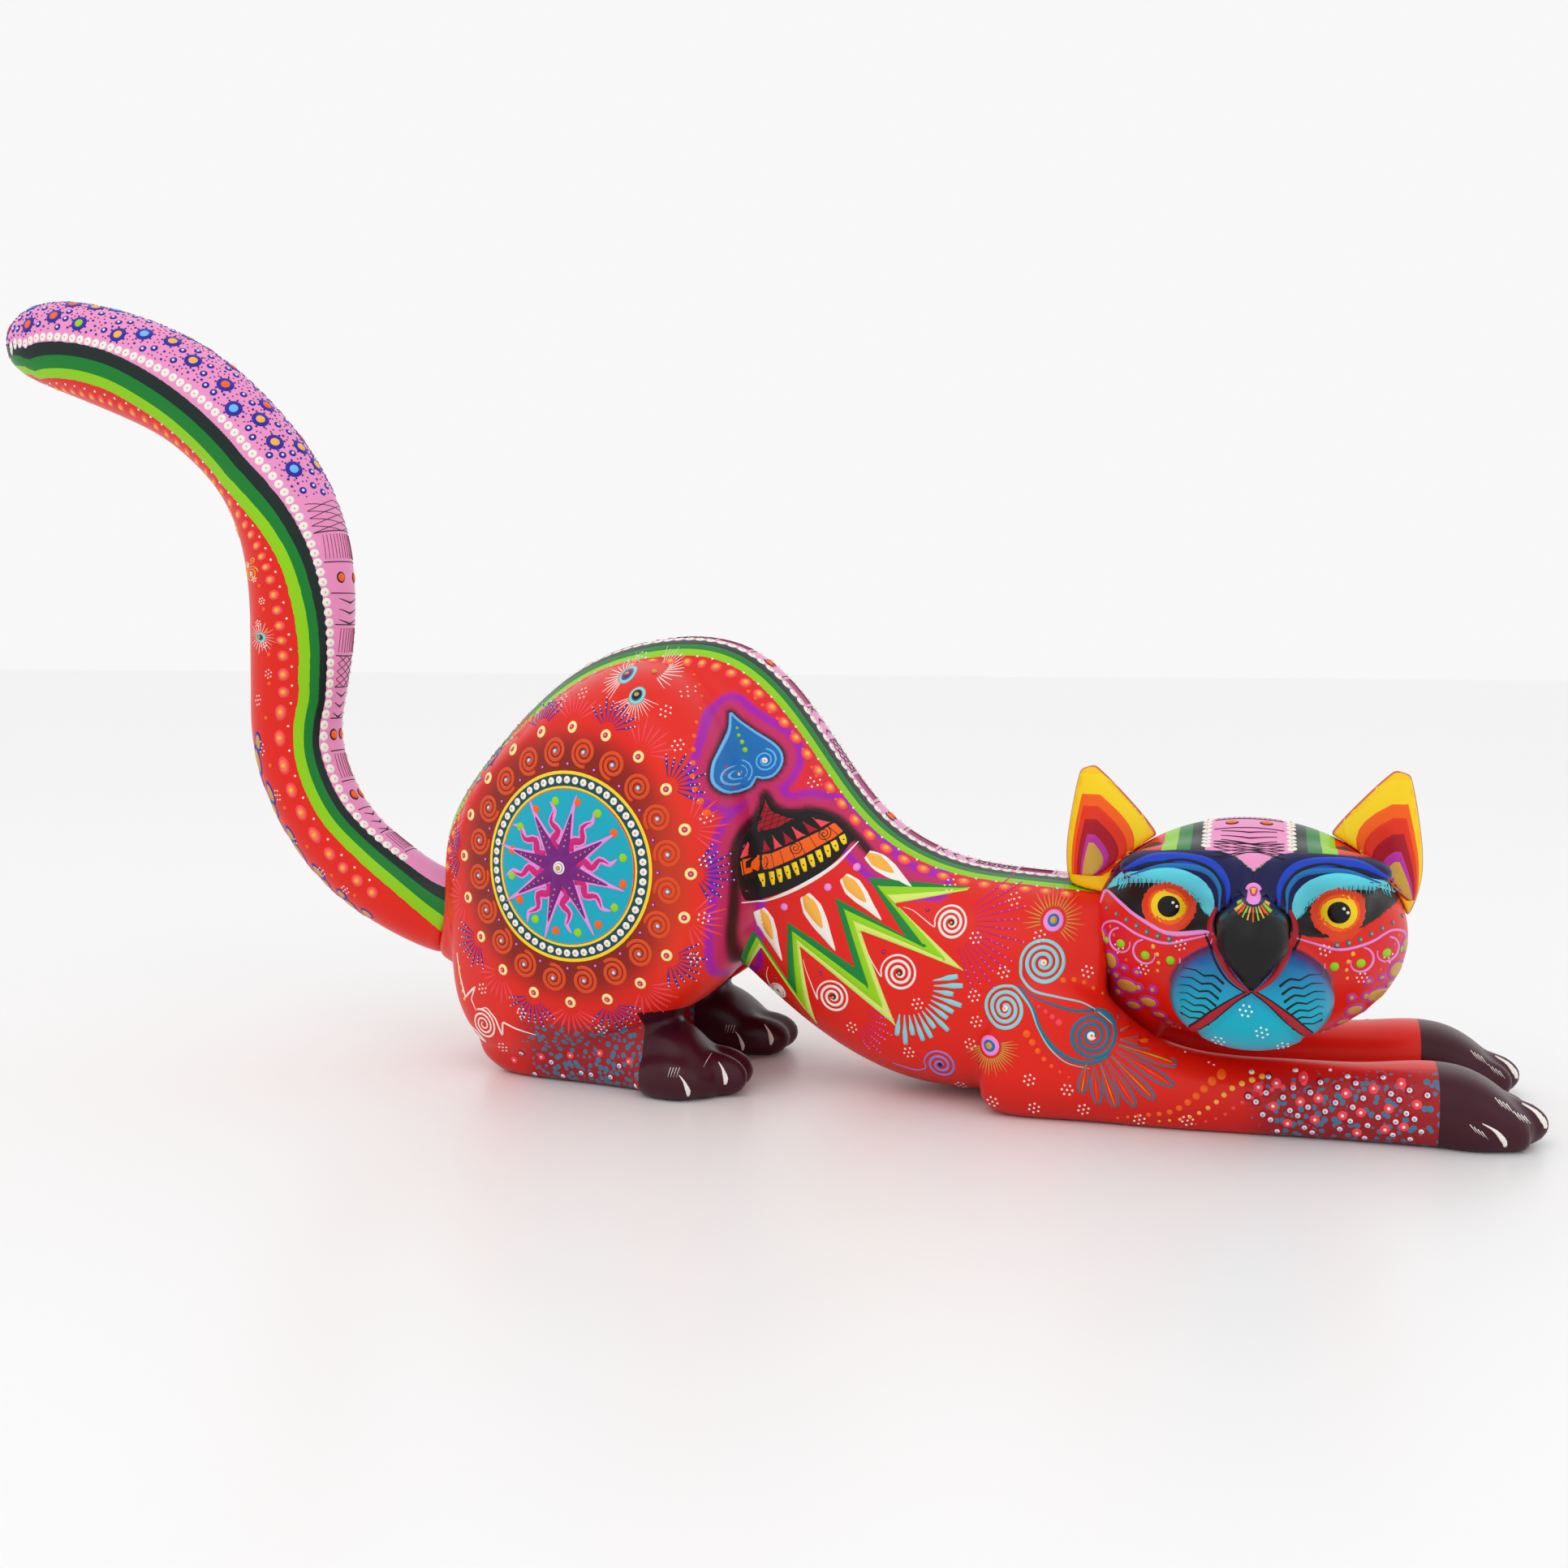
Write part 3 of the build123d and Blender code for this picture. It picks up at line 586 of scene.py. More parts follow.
def disc(sheet, colour, u, v, radius, inner=0.0, lift=0.06):
    """A round field or a ring of paint that follows the wood."""
    n = max(20, int(radius * 3.2))
    steps = max(2, int((radius - inner) / 1.6) + 1)
    radii = list(np.linspace(max(inner, 0.3), radius, steps + 1))
    tops, lows = [], []
    for i, r in enumerate(radii):
        sink = i == steps or (i == 0 and inner > 0)
        for k in range(n):
            a = 2 * math.pi * k / n
            spot = sheet(u + r * math.cos(a), v + r * math.sin(a))
            if spot is None:
                return
            tops.append(spot[0] + spot[1] * (-0.05 if sink else lift))
            lows.append(spot[0] - spot[1] * (0.05 if sink else 0.35))
    faces, base = [], len(tops)
    for i in range(steps):
        for k in range(n):
            j = (k + 1) % n
            a, b, c, d = i * n + k, i * n + j, (i + 1) * n + j, (i + 1) * n + k
            faces += [(a, b, c, d), (base + d, base + c, base + b, base + a)]
    for k in range(n):
        j = (k + 1) % n
        faces.append((steps * n + k, steps * n + j, base + steps * n + j, base + steps * n + k))
        if inner > 0:
            faces.append((j, k, base + k, base + j))
    if inner == 0:
        faces += [tuple(reversed(range(n))), tuple(range(base, base + n))]
    lay(sheet, colour, tops + lows, faces)


def curl(u, v, radius, turns, start, way=1, centre=0.12):
    """Points of a spiral from its middle outwards; start is the angle of its outer end in degrees."""
    steps = int(turns * 18)
    made = []
    for k in range(steps + 1):
        t = k / steps
        a = math.radians(start) - way * 2 * math.pi * turns * (1 - t)
        r = radius * (centre + (1 - centre) * t)
        made.append((u + r * math.cos(a), v + r * math.sin(a)))
    return made


def eye_dot(sheet, u, v, sizes, lift=0.08):
    """Touches of paint put one on another, from the largest."""
    for k, (colour, radius) in enumerate(sizes):
        dot(sheet, colour, u, v, radius, lift + 0.16 * k, dome=0.14)


def cluster(sheet, u, v, radius=0.36, reach=1.35):
    """Six white touches round a seventh."""
    dot(sheet, "white", u, v, radius)
    for k in range(6):
        a = math.radians(60 * k + 20 * math.sin(u + v))
        dot(sheet, "white", u + reach * math.cos(a), v + reach * math.sin(a), radius)


def rays(sheet, u, v, start, end, first, last, count, colour, width,
         beads=None, bead_size=0.26, bead_count=4):
    """A fan of tapering strokes between two angles, with a row of beads on each where wanted."""
    for k in range(count):
        a = math.radians(first + (last - first) * k / max(count - 1, 1))
        grow = 1 + 0.10 * math.sin(2.4 * k)
        c, s = math.cos(a), math.sin(a)
        tip = end * grow
        path = [(u + r * c, v + r * s) for r in np.linspace(start, tip, 5)]
        stroke(sheet, colour, path, width)
        if beads:
            for t in range(bead_count):
                r = tip - (tip - start) * 0.62 * t / bead_count
                dot(sheet, beads, u + r * c, v + r * s, bead_size * (1 - 0.1 * t), 0.2)


STAR = (-29.0, 63.0)
WHEEL = (-27.2, 63.3)
WHEEL_RADIUS = 25.6


def star_wheel(sheet):
    """Sun with eight rays and eight flames on a turquoise field in a band of white beads."""
    (su, sv), (wu, wv), big = STAR, WHEEL, WHEEL_RADIUS
    disc(sheet, "yellow", wu, wv, big + 0.4, big - 0.8, 0.16)
    disc(sheet, "sea", wu, wv, big, big * 0.80, 0.06)
    disc(sheet, "yellow", wu, wv, big * 0.86, big * 0.82, 0.16)
    disc(sheet, "turquoise", wu, wv, big * 0.84, 0, 0.10)
    for k in range(56):
        a = 2 * math.pi * k / 56
        at = (wu + big * 0.915 * math.cos(a), wv + big * 0.915 * math.sin(a))
        eye_dot(sheet, *at, [("white", 1.18), ("gold", 0.34)], 0.1)
    for k in range(16):
        a = math.radians(11.25 + 22.5 * k)
        at = (wu + big * 0.70 * math.cos(a), wv + big * 0.70 * math.sin(a))
        dot(sheet, "orange" if k % 2 else "lime", *at, 1.35, 0.12)
    for k in range(8):
        a = math.radians(8 + 45 * k)
        c, s = math.cos(a), math.sin(a)
        tip = big * (0.70 + 0.04 * (k % 2))
        flame = [(0.30, 0.0), (0.42, 0.07), (0.55, -0.05), (0.70, 0.06), (0.86, -0.02), (1.0, 0.05)]
        path = [(su + tip * (r * c - w * s), sv + tip * (r * s + w * c)) for r, w in flame]
        stroke(sheet, "lilac", path, [3.2, 3.4, 2.6, 1.8, 0.3], 0.16)
        stroke(sheet, "magenta", path[:-1], [2.4, 2.3, 1.5, 0.3], 0.30)
    for k in range(8):
        a = math.radians(30.5 + 45 * k)
        c, s = math.cos(a), math.sin(a)
        tip = big * 0.80
        path = [(su + r * tip * c, sv + r * tip * s) for r in (0.0, 0.25, 0.5, 0.75, 1.0)]
        stroke(sheet, "lilac", path, [7.6, 6.0, 3.4, 1.5, 0.2], 0.26)
        stroke(sheet, "purple", path[:-1], [5.6, 4.4, 2.2, 0.3], 0.44)
        for r in (0.30, 0.38, 0.46, 0.54, 0.61):
            dot(sheet, "gold", su + r * tip * c, sv + r * tip * s, 0.42 * (1.25 - r), 0.55)
    dot(sheet, "purple", su, sv, 4.0, 0.5)
    eye_dot(sheet, su, sv, [("white", 2.3), ("ring_blue", 1.7), ("white", 1.5), ("gold", 0.95)], 0.8)


def wheel_rows(sheet):
    """Rows of curls, beads and fans outside the wheel."""
    (wu, wv), big = WHEEL, WHEEL_RADIUS
    for k in range(20):
        a = 2 * math.pi * (k + 0.5) / 20
        c, s = math.cos(a), math.sin(a)
        at = (wu + big * 1.20 * c, wv + big * 1.22 * s)
        whorl = curl(*at, 3.9, 2.4, math.degrees(a) + 200)
        stroke(sheet, "rust", whorl, [0.8, 1.15, 1.05], 0.1, smooth=False)
        eye_dot(sheet, *at, [("sky", 0.75), ("white", 0.45)], 0.14)
        b = a + math.pi / 20
        c, s = math.cos(b), math.sin(b)
        eye_dot(sheet, wu + big * 1.075 * c, wv + big * 1.08 * s, [("purple", 0.62), ("lilac", 0.4)])
        at = (wu + big * 1.43 * c, wv + big * 1.46 * s)
        eye_dot(sheet, *at, [("cream", 1.75), ("magenta", 1.0), ("gold", 0.42)])
        fan_colour, beads = (("coral", None), ("violet", "white"))[k % 2]
        at = (wu + big * 1.46 * c, wv + big * 1.50 * s)
        turn = math.degrees(b)
        rays(sheet, *at, 2.6, 8.2, turn - 62, turn + 62, 9, fan_colour, [0.2, 0.5, 0.9, 0.5],
             beads or "coral", 0.24, 3)


TRIO = ((-14.4, 114.6, 110, "purple"), (-7.4, 115.3, -40, "green"), (-8.9, 109.3, 200, "black"))


def ringed_trio(sheet):
    """Three ringed eyes on top of the haunch, each with a fan of white hairs."""
    for u, v, first, middle in TRIO:
        rays(sheet, u, v, 2.4, 6.5, first, first + 140, 15, "white", [0.3, 0.25, 0.06])
        eye_dot(sheet, u, v, [("aqua", 2.5), ("teal", 1.8), (middle, 1.5), ("gold", 0.9)])


THORNS = (
    [(-67.5, 35.0), (-66.5, 29.0), (-64.5, 22.5), (-63.0, 24.0), (-60.0, 26.5), (-62, 22.5), (-60.5, 19.5)],
    [(-60.5, 19.5), (-56, 21), (-53.0, 18), (-51.5, 13.0), (-50.5, 17.5), (-46, 16.0), (-40.0, 14.8)],
    [(-66.5, 14.5), (-62, 12.5), (-59.0, 9.5), (-63, 11), (-67, 13)],
)


def ankle_mark(sheet):
    """White curl with thorns on the heel."""
    stroke(sheet, "white", curl(-58.1, 15.6, 4.6, 3.0, 110), [0.5, 0.8, 0.8], smooth=False)
    for path in THORNS:
        stroke(sheet, "white", path, [0.3, 0.8, 0.8, 0.3], smooth=False)


def beads_along(sheet, colour, path, start, end, gap, lift=0.08):
    """A trail of dots whose size runs from start to end."""
    line = curve(path, 0.3)
    length = run_along(line)
    count = max(2, int(length[-1] / gap))
    for k in range(count + 1):
        t = k / count
        u = np.interp(t * length[-1], length, line[:, 0])
        v = np.interp(t * length[-1], length, line[:, 1])
        dot(sheet, colour, u, v, start + (end - start) * t, lift)


HAUNCH_CLUSTERS = [
    (-15.2, 119.2), (2.9, 110.2), (-0.2, 105.3), (4.4, 96.6), (12.6, 77.8), (-26.8, 109.5), (-34.0, 107.5),
    (12.8, 66.6), (12.4, 51.6), (-57.0, 26.4), (-43.3, 21.2), (-19.9, 18.0), (9.3, 40.6), (-52.7, 9.1),
]
HAUNCH_BEADS = [(-0.5, 117), (4.3, 111.5), (7.0, 106.3), (7.6, 100), (8.4, 93), (9.2, 86), (12.5, 79)]
EYE_MARK, RED_MARK = [("crimson", 1.25), ("white", 0.85), ("sky", 0.5)], [("coral", 1.2), ("white", 0.45)]
CLEAR_OUT = 160

tree = skin_tree(body_skin)
sides = [flat_sheet("figure", tree, -side, side * CLEAR_OUT) for side in (-1, 1)]
for sheet in sides:
    star_wheel(sheet)
    wheel_rows(sheet)
    ringed_trio(sheet)
    ankle_mark(sheet)
    for at in HAUNCH_CLUSTERS:
        cluster(sheet, *at)
    beads_along(sheet, "orange", HAUNCH_BEADS, 0.5, 1.1, 3.4)
    beads_along(sheet, "yellow", [(-66.5, 31), (-66, 27), (-65.0, 22.0)], 0.6, 0.6, 2.2)
    for k in range(14):
        u, v = -50 + 3.1 * k, 5.2 + 3.6 * math.sin(2.3 * k) + (k > 8) * 1.5
        eye_dot(sheet, u, v, EYE_MARK if k % 3 else RED_MARK)

# ======== Paint on the waist ========
# A blue heart over an onion dome, with a skirt of petals, green zigzags and white curls below it.
# Brushed in acrylic on both sides, on a ground shaded with a plum and pink glow round the figures.

HEART = [
    (13.2, 104.3), (13.6, 100), (13.3, 95), (12.7, 91), (13.3, 86.6), (16.5, 83.7), (19.8, 84.8), (21.0, 87.2),
    (22.8, 86.9), (25.5, 87.6), (27.4, 90.2), (27.3, 93.2), (25.0, 96.0), (20.0, 99.2), (15.6, 102.2),
]
DOME = [
    (23.7, 82.7), (26.3, 79.4), (30.5, 77.9), (36, 78.4), (42, 76.3), (47.6, 71.0), (46.5, 69.3), (44.2, 65.9),
    (40.1, 62.2), (34.6, 58.9), (29.0, 56.1), (23.3, 54.2), (20.4, 54.6), (19.3, 62), (19.0, 69.1), (20.3, 73.8),
    (22.3, 78.0),
]
ROWS = [
    [(20.3, 57.4), (25.5, 57.7), (34.6, 61.5), (42.0, 66.2), (46.0, 69.9)],
    [(20.0, 61.6), (25.6, 62.3), (34.5, 66.3), (42.5, 70.9), (44.6, 72.6)],
    [(19.5, 65.9), (25.6, 66.9), (33.3, 70.4), (39.6, 73.6), (42.0, 75.2)],
    [(19.6, 70.8), (24.4, 71.5), (31.0, 74.4), (35.0, 76.4), (37.8, 77.4)],
]
ZIG_TOP = [
    (14.6, 33.4), (20.3, 45.3), (29.2, 31.6), (30.0, 48.3), (49.0, 37.0), (43.1, 55.5), (62.5, 46.2),
    (51.5, 60.9), (79.7, 58.4),
]
ZIG_LOW = [
    (15.6, 32.4), (21.9, 40.2), (36.3, 18.2), (33.6, 41.3), (60.6, 21.4), (50.7, 46.7), (79.6, 37.9),
    (59.6, 54.2), (79.7, 58.0),
]
HATCHED = [
    (23.7, 81.4), (25.6, 78.2), (29.5, 76.6), (32.0, 76.2), (27.5, 73.6), (21.2, 72.0), (21.6, 75.0), (22.8, 78.0),
]
DOME_FOOT = [(19.9, 54.4), (23.3, 53.6), (29.0, 55.6), (34.6, 58.4), (40.1, 61.8), (44.2, 65.1), (48.4, 69.9)]
ZIGZAGS = (("green", 0.0, 0.45, 0.10), ("lime", 0.32, 0.76, 0.16), ("pale_lime", 0.66, 1.0, 0.22))
PETALS = (
    ((22.4, 51.3), (28.0, 37.0), 5.4), ((35.0, 55.6), (43.6, 41.0), 6.2),
    ((45.4, 60.8), (56.2, 49.8), 5.6), ((51.0, 66.6), (63.5, 58.4), 4.8),
)
SKIRT_CURLS = (
    ((75.0, 49.9), 4.6, [(67.5, 50.6), (64.5, 52.6), (61.6, 53.4)]),
    ((61.5, 36.2), 5.2, [(53.6, 39.2), (52.0, 42.5), (50.7, 45.4)]),
    ((42.6, 28.0), 4.9, [(36.2, 31.5), (35.0, 35.0), (34.3, 38.0)]),
    ((25.0, 27.0), 2.7, [(22.0, 29.5), (22.2, 32.0), (23.3, 34.6)]),
)


def part_way(start, end, shares):
    """Points at some shares of the way from one point to another."""
    return [(start[0] + (end[0] - start[0]) * t, start[1] + (end[1] - start[1]) * t) for t in shares]


def petal(sheet, head, tip, width):
    path = part_way(head, tip, (0, 0.3, 0.6, 1.0))
    stroke(sheet, "white", path, [width * 0.5, width, width * 0.82, width * 0.4, 0.2], 0.08)
    stroke(sheet, "peach", path[:-1], [width * 0.2, width * 0.68, width * 0.5, 0.2], 0.22)


def tailed_curl(sheet, at, radius, turns, start, way, tail, colour, width, core):
    """A spiral that runs out into a tail, with touches of paint on its middle."""
    line = curl(*at, radius, turns, start, way) + tail
    stroke(sheet, colour, line, [width * 0.7, width, width, width, width * 0.7, 0.15], step=0.7)
    eye_dot(sheet, *at, core)


def blue_heart(sheet):
    fill(sheet, "ring_blue", HEART, 0.08)
    stroke(sheet, "sky", HEART + HEART[:1], 0.95, 0.14)
    for at, radius in (((16.9, 88.3), 3.4), ((23.2, 91.6), 3.1)):
        stroke(sheet, "sky", curl(*at, radius, 2.3, 90), [0.6, 0.8], 0.14, smooth=False)
        eye_dot(sheet, *at, [("white", 0.95), ("peach", 0.4)], 0.16)
    for k, at in enumerate(((15.3, 100.2), (15.9, 98.3), (16.9, 96.5), (17.8, 94.4))):
        dot(sheet, "lime", *at, 0.5 + 0.13 * k, 0.16)


def onion_dome(sheet):
    """Black dome with a hatched top, a row of triangles, an orange row with curls and a row of petals."""
    petal_row, orange_low, orange_high, triangle_row = (curve(row, 0.3) for row in ROWS)

    def at(row, share):
        return row[int(share * (len(row) - 1))]

    fill(sheet, "black", DOME, 0.07)
    fill(sheet, "crimson", HATCHED, 0.12, smooth=False)
    for k in range(5):
        for line in ([(21.3 + 1.9 * k, 72.2 + 0.5 * k), (23.2 + 1.7 * k, 80.0 - 0.7 * k)],
                     [(21.5 + 0.2 * k, 73.0 + 1.6 * k), (30.5 - 1.6 * k, 76.5 + 0.6 * k)]):
            stroke(sheet, "black", line, 0.35, 0.16)
    fill(sheet, "orange", ROWS[1] + ROWS[2][::-1], 0.12, smooth=False)
    for k in range(7):
        first, last = (at(orange_high, (k + share) / 7.2) + (0, 0.4) for share in (0.08, 0.92))
        corners = [tuple(p) for p in (first, last, at(triangle_row, (k + 0.5) / 7.2))]
        fill(sheet, "crimson" if k % 2 else "coral", corners, 0.12, smooth=False)
    for place in ((23.0, 64.2), (32.2, 68.3), (39.6, 72.1)):
        stroke(sheet, "black", curl(*place, 1.9, 2.0, 60), 0.38, 0.2, smooth=False)
    for k in range(9):
        share = (k + 0.3) / 9
        stroke(sheet, "black", [tuple(at(orange_low, share)), tuple(at(orange_high, share))], 0.28, 0.2)
    for k in range(12):
        share = (k + 0.6) / 12.2
        a, b = at(petal_row, share), at(orange_low, share)
        a, b = a + (b - a) * 0.05, a + (b - a) * 0.88
        stroke(sheet, "yellow", [tuple(a), tuple((a + b) / 2), tuple(b)], [1.0, 1.75, 1.75], 0.16)
        dot(sheet, "black", *((a + b) / 2), 0.3, 0.32)
    stroke(sheet, "white", DOME_FOOT, [0.3, 1.0, 1.2, 1.0, 0.3], 0.14)


def skirt(sheet):
    """Petals under the dome, then the zigzags with curls and fans between their points."""
    for head, tip, width in PETALS:
        petal(sheet, head, tip, width)
    for at in ((20.6, 50.6), (29.2, 52.2), (41.3, 58.0), (48.7, 63.4)):
        dot(sheet, "lilac", *at, 1.15)
    top, bottom = np.array(ZIG_TOP), np.array(ZIG_LOW)
    for colour, a, b, lift in ZIGZAGS:
        upper, lower = top + (bottom - top) * a, top + (bottom - top) * b
        fill(sheet, colour, [*map(tuple, upper), *map(tuple, lower[::-1])], lift, 1.3, smooth=False)
    for at, radius, tail in SKIRT_CURLS:
        tailed_curl(sheet, at, radius, 3.0, 195, 1, tail, "white", 1.0, [("black", 0.95), ("gold", 0.5)])
    for at in ((68.4, 52.8), (57.1, 41.6), (39.2, 34.4), (25.5, 31.6)):
        eye_dot(sheet, *at, [("purple", 0.6), ("coral", 0.3)])
    fan = [0.2, 0.5, 0.7, 0.3]
    rays(sheet, 75.0, 49.9, 6.5, 18.0, 38, -68, 14, "magenta", fan, "lilac", 0.26, 4)
    rays(sheet, 63.0, 33.0, 8.0, 15.0, 14, -100, 13, "aqua", [0.3, 0.8, 1.6, 1.3])
    rays(sheet, 46.0, 24.0, 6.5, 13.0, 8, -60, 8, "magenta", fan, "lilac", 0.24, 4)
    foot_tail = [(65, 8.6), (61.5, 9.2), (58.2, 9.9)]
    tailed_curl(sheet, (72.2, 11.4), 4.6, 2.6, 200, 1, foot_tail, "periwinkle", 0.9, [("navy", 0.9)])


GLOW = [
    HEART + HEART[:1],
    [(16.6, 37.0), (17.4, 45), (18.6, 54), (19.0, 62), (18.8, 69.1), (20.0, 74), (22.2, 78.2), (23.7, 82.7),
     (26.3, 79.4), (30.5, 77.9), (36, 78.4), (42, 76.3), (47.8, 71.0), (53, 65.8), (58, 62.0), (64, 59.6), (70, 58.6)],
]
x, _, z = skin_points(body_skin).T
near = np.full(len(x), 99.0)
for line in GLOW:
    for place in curve(line, 0.6):
        near = np.minimum(near, (x - place[0]) ** 2 + (z - place[1]) ** 2)
near = np.sqrt(near) + soft(x, 48, 72) * 1.6
wheel_out = np.hypot(x - WHEEL[0], z - WHEEL[1]) / WHEEL_RADIUS
ground = RED
for shade, amount in (
    (rgb(96, 24, 16), soft(1.55 - wheel_out, 0, 0.35) * 0.80 * (wheel_out > 0.9)),
    (rgb(214, 40, 90), np.exp(-((x - 44) ** 2 + (z - 96) ** 2) / 900) * 0.35),
    (rgb(250, 78, 30), np.exp(-((x - 4) ** 2 / 60 + (z - 62) ** 2 / 900)) * 0.4),
    # Darker red towards the bottom.
    (rgb(160, 14, 20), soft(14 - z, 0, 12) * 0.35),
    (rgb(160, 20, 176), (1 - soft(near, 4.9, 5.7)) * 0.95),
    (rgb(196, 40, 96), 1 - soft(near, 2.8, 4.0)),
    (rgb(56, 14, 26), 1 - soft(near, 0.5, 1.7)),
    (rgb(70, 26, 44), speckled * 0.55),
):
    ground = blend_to(ground, shade, amount)
set_ground(body_skin, ground)
WAIST_CLUSTERS = [
    (35.9, 85.8), (73.3, 58.8), (81.8, 46.6), (66.6, 28.4), (47.5, 19.6), (63.6, 14.2), (80.9, 18.6), (82.0, 31.8),
    (76.5, 4.2),
]
WAIST_BEADS = [(17, 110), (23, 104.5), (29.5, 98.5), (34, 91), (38, 84.5), (43.5, 79.0)]

for sheet in sides:
    blue_heart(sheet)
    onion_dome(sheet)
    skirt(sheet)
    for at in WAIST_CLUSTERS:
        cluster(sheet, *at)
    beads_along(sheet, "orange", WAIST_BEADS, 0.7, 0.5, 2.6)

# ======== Paint on the shoulders and forelegs ========
# Pale curls running into a feathered teal curl, flower eyes with gold hairs, and trails of beads down the
# arm, brushed in acrylic on both sides; the forearm is covered with ringed dots.

FEATHER_TIPS = [
    (121.5, 29.5), (126.0, 26.2), (130.8, 21.6), (134.0, 17.2), (133.4, 12.2), (128.8, 8.6), (124.0, 6.2),
    (119.2, 5.6), (114.6, 6.2), (110.4, 8.8),
]
FEATHERED = (112.8, 24.0)
TEAL_LINES = (
    ([(92.8, 35.6), (98, 33.0), (104, 31.0), (109, 30.0), (113, 30.2)], [0.2, 0.8, 1.0]),
    ([(93.5, 35.2), (97.6, 30.4), (99.8, 25.0), (103.4, 20.4), (108, 17.6), (113, 17.2), (117.4, 19.4)],
     [0.2, 0.8, 1.2, 1.2, 0.9]),
)
ARM_EYE, ARM_RED = [("crimson", 1.25), ("white", 0.8), ("sky", 0.45)], [("coral", 1.35), ("white", 0.5)]
UPPER_TAIL = [(94.4, 37.2), (97.5, 34.4), (104, 33.2), (110.5, 31.8), (115.5, 28.6), (118.6, 25.8)]
LOWER_TAIL = [(97.0, 30.6), (99.2, 25.5), (102.2, 20.4), (106.6, 16.8), (112.4, 15.6)]
SHOULDER_BEADS = (
    ("orange", [(96.3, 23.6), (98.4, 20.6), (100.6, 17.6), (103.7, 15.0), (107.2, 13.0)], 1.15, 0.35, 2.5),
    ("orange", [(105.0, 37.0), (109.0, 36.9), (112.4, 35.0), (115.8, 32.6), (118.6, 29.6)], 1.0, 0.3, 2.5),
    ("orange", [(119.5, 2.6), (126, 4.0), (133, 5.6), (138.5, 9.6), (143.5, 14.4), (147.5, 16.4)], 0.5, 1.35, 2.6),
    ("peach", [(130, 2.6), (137, 4.2), (143, 8.0), (148, 12.6), (155, 15.4)], 0.45, 0.95, 2.6),
    ("coral", [(139, 2.6), (145, 5.0), (150, 9.0), (157, 12.6), (165, 14.6)], 0.4, 0.9, 2.6),
    ("orange", [(150, 17.8), (160, 18.3), (172, 18.5), (186, 18.8)], 0.8, 0.6, 3.2),
)
SHOULDER_CLUSTERS = [
    (90.8, 56.0), (98.4, 47.6), (89.6, 38.4), (110.9, 39.0), (97.1, 11.6), (106.8, 9.6), (136.6, 20.2), (142.8, 18.4),
    (137.0, 3.4), (125.0, 2.6), (110.9, 4.4), (98.2, 3.8), (87.3, 4.5), (82.6, 25.0),
]


def shoulder(sheet):
    for (u, v), first, last in (((101.6, 51.4), 196, -50), ((86.6, 19.6), -160, 16)):
        rays(sheet, u, v, 3.3, 7.4, first, last, 24, "gold", [0.5, 0.35, 0.1])
        eye_dot(sheet, u, v, [("lilac", 2.9), ("ring_blue", 1.8), ("gold", 1.1)])
    core = [("white", 0.95), ("gold", 0.35)]
    tailed_curl(sheet, (99.8, 41.2), 5.9, 3.2, 190, 1, UPPER_TAIL, "aqua", 1.05, core)
    tailed_curl(sheet, (90.4, 29.4), 5.7, 3.2, 62, -1, LOWER_TAIL, "aqua", 1.05, core)
    for line, width in TEAL_LINES:
        stroke(sheet, "teal", line, width, 0.1)
    stroke(sheet, "teal", curl(*FEATHERED, 6.2, 3.3, 85), [0.8, 1.1, 1.2], 0.1, smooth=False)
    eye_dot(sheet, *FEATHERED, [("white", 1.3), ("gold", 0.45)])
    beads_along(sheet, "coral", [(97.4, 31.8), (101, 29.6), (104.5, 27.0)], 0.35, 1.0, 2.0)
    for k, (u, v) in enumerate(FEATHER_TIPS):
        a = math.atan2(v - FEATHERED[1], u - FEATHERED[0])
        root = (FEATHERED[0] + 7.0 * math.cos(a), FEATHERED[1] + 7.0 * math.sin(a))
        path = part_way(root, (u, v), (0, 0.35, 0.7, 1.0))
        stroke(sheet, "teal", path, [0.5, 1.5, 3.2, 3.6, 1.4], 0.06)
        stroke(sheet, "scarlet", path, [0.2, 0.9, 2.2, 2.4, 0.3], 0.16)
        near_tip = (path[2][0] * 0.3 + u * 0.7, path[2][1] * 0.3 + v * 0.7)
        stroke(sheet, "lime" if k % 2 else "orange", path[:-1] + [near_tip], [0.1, 0.4, 1.0, 0.6], 0.30)
    for colour, path, start, end, gap in SHOULDER_BEADS:
        beads_along(sheet, colour, path, start, end, gap)
    for k in range(64):
        u, v = 150.5 + (k * 11.3) % 44.0, 1.8 + (k * 6.1) % 15.5
        if u + v < 160:
            continue
        eye_dot(sheet, u, v, ARM_EYE if k % 3 else ARM_RED)


for sheet in sides:
    shoulder(sheet)
    for at in SHOULDER_CLUSTERS:
        cluster(sheet, *at)

# ======== Claws ========
# White comma strokes for the claws and fine ticks over the toes of the plum paws, on both sides of each.
# They are flat paint laid on with a small round brush, not carved.

FORE_CLAW = [(-5.4, 4.6), (-2.2, 2.8), (0, 0), (0.1, -1.2)]
HIND_CLAW = [(-1.8, 4.2), (-0.4, 2.6), (0.6, 0), (0.3, -1.6)]
CLAWS = (
    (((212.0, 3.4), (222.4, 6.2), (218.0, 9.4)), FORE_CLAW, [0.2, 0.6, 1.5, 0.9], [(-8.2, 4.2), (-6.6, 2.2)], 0.9, -0.5),
    (((5.6, 3.6), (14.0, 5.6), (11.0, 9.0)), HIND_CLAW, [0.2, 0.7, 1.5, 0.7], [(-4.4, 6.0), (-4.9, 3.6)], 0.8, 0),
)

